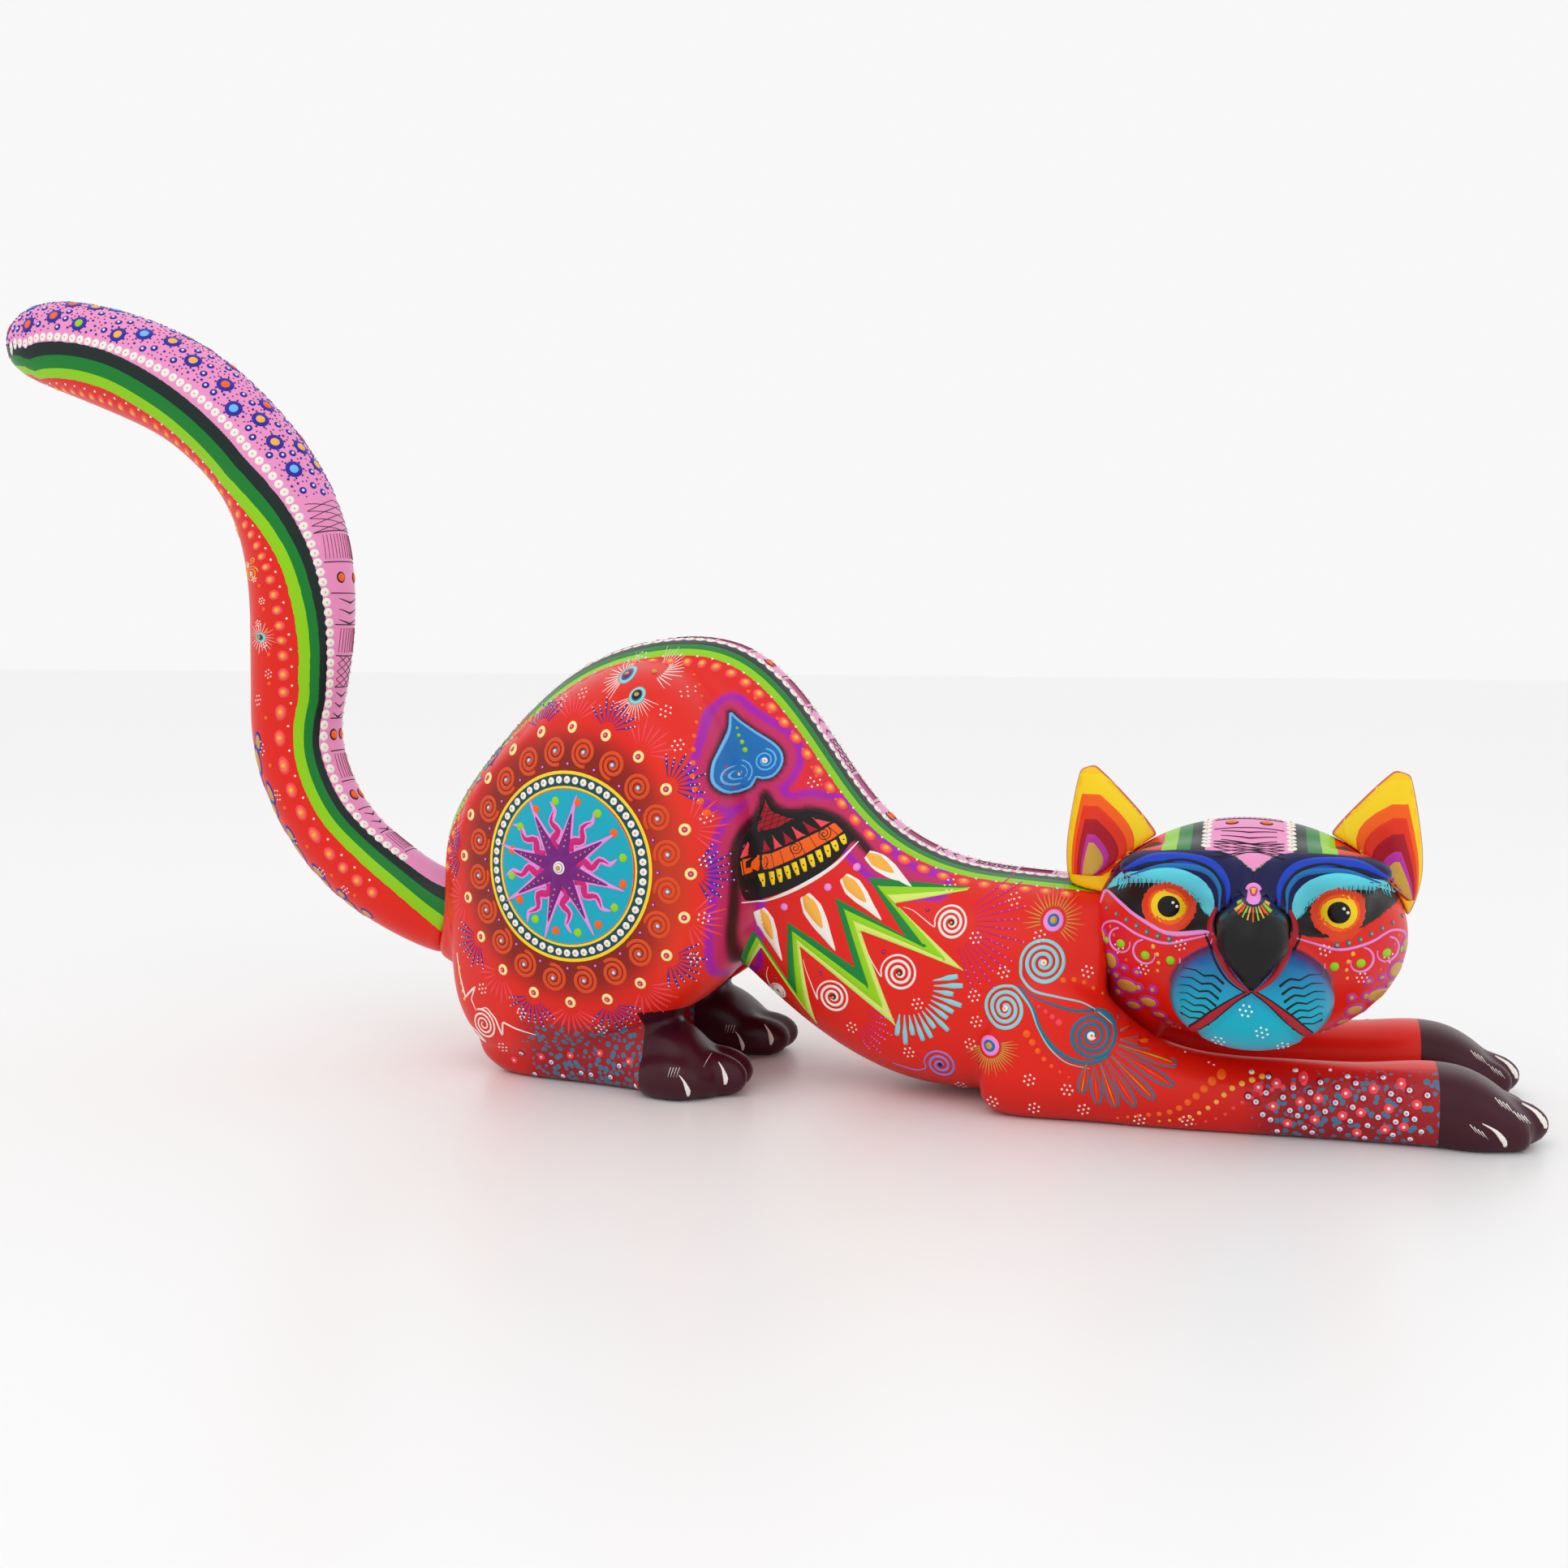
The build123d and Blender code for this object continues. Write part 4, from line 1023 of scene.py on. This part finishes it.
for sheet in (*sides, *(flat_sheet("figure", tree, side, 0) for side in (-1, 1))):
    for places, comma, widths, tick, apart, drop in CLAWS:
        for u, v in places:
            stroke(sheet, "white", [(u + du, v + dv) for du, dv in comma], widths)
            for k in range(4):
                line = [(u + du + apart * k, v + dv + drop * k) for du, dv in tick]
                stroke(sheet, "white", line, [0.35, 0.08])

# ======== Ridge ornament on the back ========
# A pink strip in panels down the spine, edged with white beads, and glowing dots outside the green bands.
# Brushed over the bands in acrylic; the crossed lines and the hatching are drawn with the finest brush.


def ridge_sheet(body, tree, ridge, turn, depth, clear, widest):
    """A drawing wrapped over a ridge: distance along it and distance down from it, in millimetres of wood."""
    along = run_along(ridge)
    slope = np.gradient(ridge, axis=0)
    slope /= np.linalg.norm(slope, axis=1)[:, None]
    angles = np.radians(np.arange(0, widest, 8))
    known = {}

    def cast(s, angle, side):
        x, z = (np.interp(s, along, ridge[:, k]) for k in (0, 1))
        tx, tz = (np.interp(s, along, slope[:, k]) for k in (0, 1))
        out = Vector((-tz * turn, 0, tx * turn)).normalized()
        middle = Vector((x, MIDDLE, z)) - out * depth
        ray = out * math.cos(angle) + Vector((0, side * math.sin(angle), 0))
        hit = tree.ray_cast(middle + ray * clear, -ray)
        return hit[:2] if hit[0] is not None else None

    def on(s, arc):
        if not 0 <= s <= along[-1]:
            return None
        side = 1 if arc >= 0 else -1
        key = (round(s * 2), side)
        if key not in known:
            reach, last, found, used = 0.0, None, [], []
            for angle in angles:
                spot = cast(key[0] / 2, angle, side)
                if spot is None:
                    break
                reach += 0 if last is None else (spot[0] - last).length
                last = spot[0]
                found.append(reach)
                used.append(angle)
            known[key] = (found, used)
        found, used = known[key]
        if len(found) < 3 or abs(arc) > found[-1]:
            return None
        return cast(s, float(np.interp(abs(arc), found, used)), side)

    on.body = body
    return on, along[-1]


def strip_panel(sheet, s, length, half, kind):
    """One panel of the pink strip: hatching, orange patches, triangles or crossed lines."""
    stroke(sheet, "black", [(s, -half), (s, 0), (s, half)], 0.45, smooth=False)
    if kind == 0:
        for arc in np.arange(-half + 0.8, half, 1.3):
            stroke(sheet, "wine", [(s + 1.0, arc), (s + length - 1.0, arc + 0.3)], 0.25)
    elif kind == 1:
        for arc in (-half * 0.5, half * 0.5):
            eye_dot(sheet, s + length / 2, arc, [("black", 1.9), ("orange", 1.5)])
    elif kind == 2:
        for k in range(3):
            u = s + length * (k + 0.5) / 3
            for way in (-1, 1):
                stroke(sheet, "black", [(u - 1.3, 0), (u, way * half * 0.8)], [0.9, 0.2])
    else:
        for k in range(4):
            u = s + length * k / 4
            for edge, middle in ((u, u + length / 4), (u + length / 4, u)):
                stroke(sheet, "black", [(edge, -half), (middle, 0), (edge, half)], 0.3, smooth=False)


BEAD_GAP, GLOW_GAP, PANEL = 3.1, 5.4, 11


def spine(sheet, start, end, white_at, glow_at):
    """White beads along the edges of the strip, and glowing dots outside the bands."""
    for side in (-1, 1):
        for k in range(int((end - start) / BEAD_GAP)):
            s = start + BEAD_GAP * k
            eye_dot(sheet, s, side * white_at(s), [("white", 1.5), ("gold", 0.3)])
        for k in range(int((end - start) / GLOW_GAP)):
            s = start + GLOW_GAP * k
            eye_dot(sheet, s, side * glow_at(s), [("coral", 2.0), ("salmon", 1.4), ("peach", 0.85)])
            between = s + GLOW_GAP / 2
            dot(sheet, "white", between, side * (glow_at(between) - 2.6), 0.42)


sheet, length = ridge_sheet("figure", tree, back, 1, 14, 60, 121)
spine(sheet, 6, length - 4, lambda s: 4.9, lambda s: 17.6)
for k in range(int((length - 12) / PANEL)):
    strip_panel(sheet, 8 + PANEL * k, PANEL, 3.3, (0, 1, 0, 2, 3)[k % 5])

# ======== Ornament on the tail ========
# Panels on the pink strip near the root, ringed dots towards the end, gold pebbles beside the bands.
# Acrylic like the rest; the small dots are touched on one by one with a stick, so they lie unevenly.

tail_sheet, tail_length = ridge_sheet("tail_piece", skin_tree(tail_skin), ridge, -1, 11, 26, 169)


def edge_at(which):
    return lambda s: float(np.interp(s, STATIONS, EDGE_SETS[which]))


def oval(u, v, wide, tall):
    return [(u + wide * math.cos(t), v + tall * math.sin(t)) for t in np.linspace(0, 5.7, 10)]


spine(tail_sheet, 4, tail_length - 3, lambda s: edge_at(0)(s) - 1.7, lambda s: edge_at(3)(s) + 3.6)
DOTTED_FROM, TAIL_PANEL = 118, 9.5
for k in range(12):
    s = 5 + TAIL_PANEL * k
    kind = (0, 2, 1, 0, 1, 2, 3)[k % 7] if s < 105 else 3
    strip_panel(tail_sheet, s, TAIL_PANEL, edge_at(0)(s) - 3.6, kind)
chance = random.Random(7)
taken = []
for big, count in ((2.9, 42), (1.3, 90), (0.6, 130), (0.36, 700)):
    for _ in range(count * 8):
        if count == 0:
            break
        s = chance.uniform(DOTTED_FROM + 3, tail_length - 1)
        reach = edge_at(0)(s) - 3.4 - big
        arc = chance.uniform(-reach, reach)
        if any((s - a) ** 2 + (arc - b) ** 2 < (big + c + 0.35) ** 2 for a, b, c in taken):
            continue
        taken.append((s, arc, big))
        count -= 1
        if big > 2:
            core = chance.choice(("orange", "orange", "peach", "sky", "lime"))
            eye_dot(tail_sheet, s, arc, [("violet_blue", 2.9), (core, 1.6)])
            for q in range(8):
                a = math.radians(45 * q + 15)
                dot(tail_sheet, "violet_blue", s + 3.0 * math.cos(a), arc + 3.0 * math.sin(a), 0.4)
        elif big > 1:
            eye_dot(tail_sheet, s, arc, [("violet_blue", 1.25), ("white", 0.5)])
        else:
            dot(tail_sheet, "violet_blue" if big > 0.4 else "purple", s, arc, big * 0.8)
for side in (-1, 1):
    for s, curled in ((74, False), (100, True), (126, True)):
        arc = side * (edge_at(3)(s) + 11.5)
        if curled:
            stroke(tail_sheet, "peach", curl(s, arc, 4.2, 2.6, 90), [0.5, 0.8], smooth=False)
            eye_dot(tail_sheet, s, arc, [("white", 0.8), ("gold", 0.4)])
            for way in (-1, 1):
                small = curl(s + 6.8, arc + way * 2.0, 1.7, 1.4, 180 + way * 60, way)
                stroke(tail_sheet, "peach", small, 0.6, smooth=False)
        else:
            rays(tail_sheet, s, arc, 2.6, 6.0, 0, 345, 22, "white", [0.3, 0.1])
            eye_dot(tail_sheet, s, arc, [("aqua", 2.6), ("teal", 1.8), ("black", 1.3), ("gold", 0.7)])
    for k in range(12):
        s = 8 + 8.6 * k
        cluster(tail_sheet, s + 3, side * (edge_at(3)(s) + 9.2 + (k % 3) * 1.6), 0.3, 1.1)
        dot(tail_sheet, "orange", s, side * (edge_at(3)(s) + 8.4), 0.7)
for side in (-1, 1):
    for k in range(16):
        s = 3 + 2.9 * k
        arc = side * (edge_at(3)(s) + 12.5 + 2.6 * ((k * 5) % 3))
        wide, tall = 1.9 - 0.5 * (k % 2), 1.3 + 0.3 * (k % 3)
        for colour, grow, lift in (("violet_blue", 0.7, 0.08), ("gold", 0, 0.2)):
            fill(tail_sheet, colour, oval(s, arc, wide + grow, tall + grow), lift, 0.9)

# ======== Painted face ========
# Navy forehead, feathered cyan brows, ringed yellow eyes with painted highlights, black almonds round them that are
# black paint and painted shade in the sockets, a black nose and a blue muzzle.
# Thin acrylic, the grounds brushed on the wood first and the fine lines, pebbles and whiskers over them.

face_tree = skin_tree(head_skin)
face = flat_sheet("figure", face_tree, 1, -CLEAR_OUT)
BROW_IN = [(11.8, 57.4), (13.0, 59.6), (16.5, 61.9), (22.4, 63.8), (28.6, 63.2), (33.3, 61.0)]
BROW = [
    (37.0, 59.6), (34.0, 63.6), (29.5, 66.6), (20.4, 68.4), (14.2, 66.9), (10.4, 63.8), (9.0, 60.1), (9.6, 55.6),
    *BROW_IN,
]
# The black almond round each eye is black paint and also painted shade in the carved socket under the brow.
ALMOND_AND_SOCKET_SHADE = [
    (37.2, 59.2), (32.5, 57.4), (28.6, 55.2), (20.2, 52.0), (10.8, 53.0), (10.0, 55.2), (12.0, 58.4), (16.5, 62.0),
    (22.4, 64.0), (28.6, 63.6), (33.3, 61.6),
]
NAVY = [
    (36.6, 62.2), (34.0, 65.6), (29.4, 69.4), (22.6, 72.0), (10.8, 72.4), (4, 71.2), (1.6, 69.4), (0, 68.2),
    (0, 60.5), (6.0, 60.0), (8.6, 57.0), (9.8, 56.0), (10.5, 60.0), (14, 64.0), (20, 66.2), (28, 65.4), (33, 62.6),
]
NAVY_GROUND = [
    (42, 58.8), (41, 63.0), (36.0, 68.0), (29.4, 71.0), (22.6, 72.0), (10.8, 72.4), (4, 71.4), (1.6, 69.8),
    (-2, 68.2), (-2, 59.5), (6.0, 59.5), (9.0, 54.0), (10.5, 52.8), (20, 54), (30, 58),
]
LID = [(38.6, 55.6), (37.0, 59.0), (32.5, 57.0), (28.6, 54.8), (20.2, 51.6), (10.8, 52.7), (9.4, 52.0), (9.8, 50.0)]
NOSE = [(0, 60.6), (5.6, 60.0), (8.4, 57.8), (9.2, 54.4), (7.8, 51.0), (4.0, 46.2), (0, 42.4)]
NOSE_GROUND = [(-3, 60.4), (5.6, 60.0), (8.8, 57.8), (9.6, 54.4), (8.2, 51.0), (4.4, 46.2), (0, 42), (-3, 42)]
FOREHEAD_LINES = (
    ("blue", [(32, 66.6), (24, 70.4), (12, 69.8), (6.6, 65.6), (6.0, 60.2)], [0.5, 2.0, 2.6, 2.6, 0.6], 0.16),
    ("ring_blue", [(30, 65.6), (22, 68.6), (12.4, 68.0), (8.2, 64.0), (8.0, 58.0)], [0.4, 1.0, 1.6, 1.6, 0.4], 0.16),
    ("black", [(28, 67.6), (18, 70.2), (11, 68.6), (7.4, 64.6), (7.6, 60.0)], [0.2, 0.6, 1.1, 1.1, 0.2], 0.16),
)
SCROLL = [(10.0, 52.2), (15, 50.6), (21, 49.0), (28, 50.2), (33.5, 52.4), (37.2, 51.0), (37.6, 48.2), (36.6, 46.6)]
LID_LINES = (
    ("lilac", LID, [0.3, 1.0, 1.0, 1.0, 1.2, 1.0, 0.4], 0.2),
    ("lilac", SCROLL, [0.5, 0.9, 0.9, 0.8, 0.3], 0.12),
)
UNDER_EYE = [(36.6, 55.0), (33, 54.0), (29, 52.6), (25, 51.0), (20, 50.2)]
FACE_BEADS = (
    ("teal", UNDER_EYE, 0.75, 0.9, 2.7, 0.08), ("gold", UNDER_EYE, 0.4, 0.5, 2.7, 0.26),
    ("orange", [(35.4, 50.8), (34.2, 48.6), (31.0, 43.0)], 0.6, 0.5, 2.0, 0.08),
    ("peach", [(24.0, 47.8), (22.6, 45.0), (22.8, 41.6)], 0.7, 0.5, 1.9, 0.08),
)
PEBBLES = (
    (35.4, 41.6, 1.9, 2.3), (31.0, 35.4, 2.9, 2.0), (25.4, 31.8, 2.2, 1.6), (29.5, 29.4, 2.0, 1.2),
    (37.6, 47.6, 0.9, 1.8), (22.8, 28.0, 1.7, 1.0), (34.0, 37.6, 0.9, 0.9), (27.8, 35.8, 0.8, 0.9),
    (28.2, 40.2, 0.7, 0.7), (24.2, 36.0, 0.7, 0.8), (33.6, 32.6, 0.9, 0.9), (36.6, 38.0, 1.0, 1.2),
    (31.6, 40.6, 0.7, 0.6), (20.4, 25.4, 0.9, 0.7),
)
LIPS = [(0.0, 42.2), (4, 39.8), (9, 35.4), (13.8, 30.4), (16.8, 26.6)]
NOSE_LINES = (
    ("crimson", [(8.6, 58.9), (10.2, 54.6), (9.2, 51.2), (4.8, 45.2), (0.4, 41.8)], [0.8, 1.6, 2.0, 1.5, 0.5], 0.16),
    ("black", [(10.2, 57.4), (11.4, 53.6), (10.3, 50.2), (5.8, 44.4), (0.4, 41.2)], [0.3, 0.7, 0.7, 0.6, 0.3], 0.16),
    ("black", LIPS, [0.9, 1.8, 2.9, 2.8, 0.9], 0.14),
    ("crimson", LIPS, [0.3, 1.0, 2.0, 1.9, 0.4], 0.24),
)
EYE_DISCS = (("rust_red", 7.2), ("orange", 6.1), ("yellow", 5.2), ("black", 3.5))
BROW_HAIRS = 22
EYE_RING = 7.0


def within(points, outline):
    """True for points of a drawing that lie inside a closed smooth outline."""
    edge = curve([*outline, outline[0]], 0.5)
    odd = np.zeros(len(points), bool)
    for (x1, y1), (x2, y2) in zip(edge[:-1], edge[1:]):
        if y1 != y2:
            crosses = (y1 > points[:, 1]) != (y2 > points[:, 1])
            odd ^= crosses & (points[:, 0] < (x2 - x1) * (points[:, 1] - y1) / (y2 - y1) + x1)
    return odd


def across(side, points):
    """A drawing of one half of the face, put on its left or its right."""
    return [(FACE_X + side * u, v) for u, v in points]


def draw_lines(side, lines):
    for colour, path, width, lift in lines:
        stroke(face, colour, across(side, path), width, lift)


x, y, z = skin_points(head_skin).T
flat = np.stack([np.abs(x - FACE_X), z], 1)
round_eye = np.hypot(flat[:, 0] - EYE_OUT, flat[:, 1] - EYE_Z + 0.3) < EYE_RING
# The ground under each almond is black as well: black paint and painted shade in the socket.
for covered, colour, forward in (
    (within(flat, NAVY_GROUND), "navy", -8), (within(flat, ALMOND_AND_SOCKET_SHADE), "black", -8), (within(flat, BROW), "cyan", -8),
    (round_eye, "rust_red", -8), (within(flat, NOSE_GROUND), "black", -30),
):
    head_ground[(y < forward) & covered] = rgb(*SWATCHES[colour])
set_ground(head_skin, head_ground)
for side in (-1, 1):
    fill(face, "navy", across(side, NAVY), 0.08, 1.2)
    draw_lines(side, FOREHEAD_LINES)
    # Black almond: black paint deepened into painted shade in the socket.
    fill(face, "black", across(side, ALMOND_AND_SOCKET_SHADE), 0.12, 1.2)
    fill(face, "cyan", across(side, BROW), 0.16, 1.2)
    inner = curve(BROW_IN, 0.4)
    for k in range(BROW_HAIRS):
        u, v = inner[int(k / (BROW_HAIRS - 0.5) * len(inner))]
        lean = math.radians(-128 + 62 * k / 21)
        path = [(u + way * 1.2 * math.cos(lean), v + way * 1.2 * math.sin(lean)) for way in (-1, 1)]
        stroke(face, "cyan", across(side, path), [0.7, 0.1], 0.2)
        path = [(u + 0.55 - 0.1 * k / 21, v + 1.5), (u + 0.55 + 0.5 * math.cos(lean), v - 0.2)]
        stroke(face, "black", across(side, path), [0.08, 0.34], 0.26)
    eye = (FACE_X + side * EYE_OUT, EYE_Z - 0.3)
    for k, (colour, radius) in enumerate(EYE_DISCS):
        disc(face, colour, *eye, radius, 0, 0.34 + 0.08 * k)
    # The two white dots on each eye are painted highlights, glints of light on the eyeball.
    for u, v in ((1.0, 1.0), (1.9, 0.1)):
        dot(face, "white", eye[0] + u, eye[1] + v, 0.5, 0.66)
    draw_lines(side, LID_LINES)
    for u, v, radius in ((32.5, 47.6, 3.4), (26.0, 45.8, 3.4), (19.6, 45.4, 3.2)):
        hook = curl(u, v, radius, 0.75, 90 - 10 * side, side, 0.72)
        stroke(face, "lilac", [(FACE_X + side * u + x - u, y) for x, y in hook], [0.3, 0.9, 0.6], 0.12)
        dot(face, "lime", FACE_X + side * u, v - 0.6, 1.25)
    dot(face, "lime", FACE_X + side * 36.4, 47.0, 1.0)
    for colour, path, start, end, gap, lift in FACE_BEADS:
        beads_along(face, colour, across(side, path), start, end, gap, lift)
    for u, v, wide, tall in PEBBLES:
        for colour, grow, lift in (("orchid", 0.75, 0.08), ("gold", 0, 0.2)):
            fill(face, colour, across(side, oval(u, v, wide + grow, tall + grow)), lift, 0.9)
    draw_lines(side, NOSE_LINES)
    for k in range(7):
        v = 44.6 - 1.75 * k
        out = 17.2 - abs(k - 2.5) * 0.35
        u = 6.4 + 0.55 * k
        path = [(u, v - 1.3), (u + 2.4, v + 0.2), (u + 4.6, v - 0.2), (u + 6.8, v + 0.6), (out, v + 0.1)]
        stroke(face, "black", across(side, path), [0.75, 0.6, 0.5, 0.35, 0.1], 0.14)
    for u, v in ((17.2, 49.0), (26.4, 41.4), (33.0, 45.6), (18.6, 22.6)):
        cluster(face, FACE_X + side * u, v, 0.33, 1.25)
fill(face, "black", across(-1, NOSE) + across(1, NOSE[-2:0:-1]), 0.3, 1.2)
for k in range(13):
    a = math.radians(205 + 130 * k / 12)
    reach = 5.6 - 1.2 * abs(math.cos(a))
    path = [(FACE_X + r * math.cos(a) * 1.25, 64.0 + r * math.sin(a)) for r in (2.6, reach)]
    stroke(face, ("orange", "lime", "peach")[k % 3], path, [0.5, 1.0], 0.36)
for k, (colour, radius) in enumerate((("lilac", 2.1), ("magenta", 1.4), ("peach", 0.9))):
    disc(face, colour, FACE_X, 63.9, radius, 0, 0.9 + 0.08 * k)
for u, v in ((-1.2, 37.6), (2.6, 32.2), (-7.4, 28.4), (7.6, 27.6)):
    cluster(face, FACE_X + u, v)


def crown_sheet(s, arc):
    """Distance back over the crown and distance to the side of the middle of the strip."""
    y, x = -33 + s, SKULL[0] + arc
    hit = face_tree.ray_cast(Vector((x, y, 140)), Vector((0, 0, -1)))
    return hit[:2] if hit[0] is not None and hit[0].z > 62 else None


CROWN_PANEL = 8.5
crown_sheet.body = "figure"
for side in (-1, 1):
    for k in range(17):
        eye_dot(crown_sheet, 8.0 + 3.0 * k, side * 10.4, [("white", 1.4), ("gold", 0.3)])
for k, kind in enumerate((3, 2, 1, 0, 3, 2)):
    strip_panel(crown_sheet, 3 + CROWN_PANEL * k, CROWN_PANEL, 8.6, kind)

NAPE_CLUSTERS = [
    (150, 60), (158, 50), (150, 30), (181, 50), (168, 46), (184, 60), (132, 52), (170, 27), (142, 32), (126, 44),
]
nape = flat_sheet("figure", face_tree, -1, CLEAR_OUT)
for u, v, turn in ((172, 58, 0), (162, 36, 200), (140, 42, 120), (176, 38, 300)):
    stroke(nape, "cyan", curl(u, v, 5.0, 2.6, turn), [0.7, 0.9, 0.8], 0.1, smooth=False)
    eye_dot(nape, u, v, [("white", 0.9), ("gold", 0.45)], 0.14)
    rays(nape, u, v, 6.4, 10.8, turn, turn + 150, 11, "violet", [0.2, 0.5, 0.8, 0.4], "white", 0.26, 3)
for at in NAPE_CLUSTERS:
    cluster(nape, *at)
for k in range(26):
    u = 122 + 2.6 * k
    rise = 27.0 * math.sqrt(max(0, 1 - ((u - SKULL[0]) / 38) ** 2)) * 0.86
    for v in (SKULL[2] - rise, SKULL[2] + rise):
        eye_dot(nape, u, v, [("salmon", 1.0), ("peach", 0.5)])

# ======== Painted ears ========
# Nested bands of yellow, orange, red and crimson round a gold hollow, and ringed dots on the backs.
# Each band is a flat field of acrylic laid on the one before, so the inner ones stand a little higher.

EAR_BANDS = (
    ("yellow", 0.97), ("orange", 0.76), ("scarlet_red", 0.64), ("crimson", 0.50), ("orchid", 0.34), ("gold", 0.25),
)
EAR_EYE, EAR_DOT = [("crimson", 1.1), ("white", 0.6), ("sky", 0.35)], [("teal", 0.9)]

for word in ("right", "left"):
    body = f"{word}_ear_piece"
    skin = bpy.data.objects[f"{word}_ear_skin"]
    ear_tree = skin_tree(skin)
    front, rear = (flat_sheet(body, ear_tree, -side, side * CLEAR_OUT) for side in (-1, 1))
    co = skin_points(skin)
    tip = co[np.argmax(co[:, 2])]
    z0, top = co[:, 2].min() + 4.0, tip[2] - 1.2
    rim = []
    for z in np.linspace(z0, top, 12):
        row = co[np.abs(co[:, 2] - z) < 1.2]
        rim.append((row[:, 0].min(), row[:, 0].max(), z))
    rim = np.array(rim)
    for k in (0, 1):
        rim[:, k] = np.polyval(np.polyfit(rim[:, 2], rim[:, k], 3), rim[:, 2])
    foot = (rim[0][0] + rim[0][1]) / 2
    for k, (colour, share) in enumerate(EAR_BANDS):
        edges = ([], [])
        for *sides_x, z in rim:
            mid = foot + ((tip[0] - foot) * (z - z0) / (tip[2] - z0))
            for edge, x in zip(edges, sides_x):
                edge.append((mid + (x - mid) * share, z0 + (z - z0) * (share * 0.9 + 0.1)))
        fill(front, colour, edges[0] + edges[1][::-1], 0.06 + 0.05 * k, 1.0, smooth=False)
    for k in range(60):
        z = z0 + 1 + (k * 7.3) % (tip[2] - z0 - 3)
        a, b, _ = rim[min(11, int((z - z0) / (top - z0) * 11))]
        x = a + 1.2 + (k * 3.7) % max(b - a - 2.4, 0.5)
        eye_dot(rear, x, z, EAR_EYE if k % 3 else EAR_DOT)

# ======== Varnish and brush marks ========
# The painted film that rides on each body, one piece for each colour, left a little raised by the brush.
# Acrylic under a thin coat of satin varnish.


def paint_film(body, colour, points, faces):
    name = f"paint_{body}_{colour}"
    mesh = bpy.data.meshes.new(name)
    mesh.from_pydata([p * MM for p in points], [], faces)
    build = bmesh.new()
    build.from_mesh(mesh)
    bmesh.ops.recalc_face_normals(build, faces=build.faces)
    build.to_mesh(mesh)
    build.free()
    mesh.shade_smooth()
    film = bpy.data.objects.new(name, mesh)
    bpy.context.scene.collection.objects.link(film)
    if colour not in bpy.data.materials:
        _, nodes, links, shader = new_material(colour)
        shader.inputs["Base Color"].default_value = (*rgb(*SWATCHES[colour]), 1)
        brushed(nodes, links, shader, 0.38, 0.05, 1400.0, 0.08, 0.0002)
    mesh.materials.append(bpy.data.materials[colour])
    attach(film, body)


for (body, colour), (points, faces) in paint.items():
    paint_film(body, colour, points, faces)

# ======== Pegs and dowels ========
# Turned softwood, left bare; they show only when the tail or an ear is pulled.
# The dowels are glued in the blocks; the pegs are glued at one end and push-fitted at the other.

bare, nodes, links, shader = new_material("bare_wood")
shader.inputs["Roughness"].default_value = 0.7
grain = nodes.new("ShaderNodeTexNoise")
grain.inputs["Scale"].default_value = 160.0
ramp = nodes.new("ShaderNodeValToRGB")
ramp.color_ramp.elements[0].color = (0.42, 0.27, 0.13, 1)
ramp.color_ramp.elements[1].color = (0.66, 0.47, 0.26, 1)
links.new(grain.outputs["Fac"], ramp.inputs["Fac"])
links.new(ramp.outputs["Color"], shader.inputs["Base Color"])
for name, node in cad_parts.items():
    if "dowel" in name or "peg" in name:
        node.data.materials.clear()
        node.data.materials.append(bare)

# ======== Camera, light and floor ========
# A white sweep under a bright even studio, a large key lamp over the front and a smaller one beside the face.
# The camera stands a little to the right of the middle and looks slightly down.

floor = bpy.data.meshes.new("floor")
floor.from_pydata([(-4, -3, 0), (4, -3, 0), (4, 4, 0), (-4, 4, 0)], [], [(0, 1, 2, 3)])
floor = bpy.data.objects.new("floor", floor)
bpy.context.scene.collection.objects.link(floor)
white, _, _, shader = new_material("white_floor")
shader.inputs["Base Color"].default_value = (0.93, 0.93, 0.93, 1)
shader.inputs["Roughness"].default_value = 0.35
floor.data.materials.append(white)
world = bpy.data.worlds.new("studio")
world.use_nodes = True
world.node_tree.nodes["Background"].inputs["Color"].default_value = (1, 1, 1, 1)
world.node_tree.nodes["Background"].inputs["Strength"].default_value = 0.94
bpy.context.scene.world = world
LAMPS = (("key", (-0.3, -1.0, 1.3), 1.2, 3.2), ("fill", (1.2, -0.9, 0.9), 1.0, 1.2))
LENS, SENSOR, CAMERA_PLACE, CAMERA_DOWN, CAMERA_TURN = 41.93, 36.0, (149.9, -491.4, 128.3), 85.0, 14.3
for name, place, size, power in LAMPS:
    lamp = bpy.data.lights.new(name, "AREA")
    lamp.energy, lamp.size = power, size
    lamp = bpy.data.objects.new(name, lamp)
    lamp.location = place
    lamp.rotation_euler = (Vector((0, 0, 0.1)) - Vector(place)).to_track_quat("-Z", "Y").to_euler()
    bpy.context.scene.collection.objects.link(lamp)
bpy.context.scene.view_settings.view_transform = "Standard"

camera = bpy.data.objects.new("camera", bpy.data.cameras.new("camera"))
camera.data.lens, camera.data.sensor_width = LENS, SENSOR
camera.location = Vector(CAMERA_PLACE) * MM
camera.rotation_euler = (math.radians(CAMERA_DOWN), 0, math.radians(CAMERA_TURN))
bpy.context.scene.collection.objects.link(camera)
bpy.context.scene.camera = camera
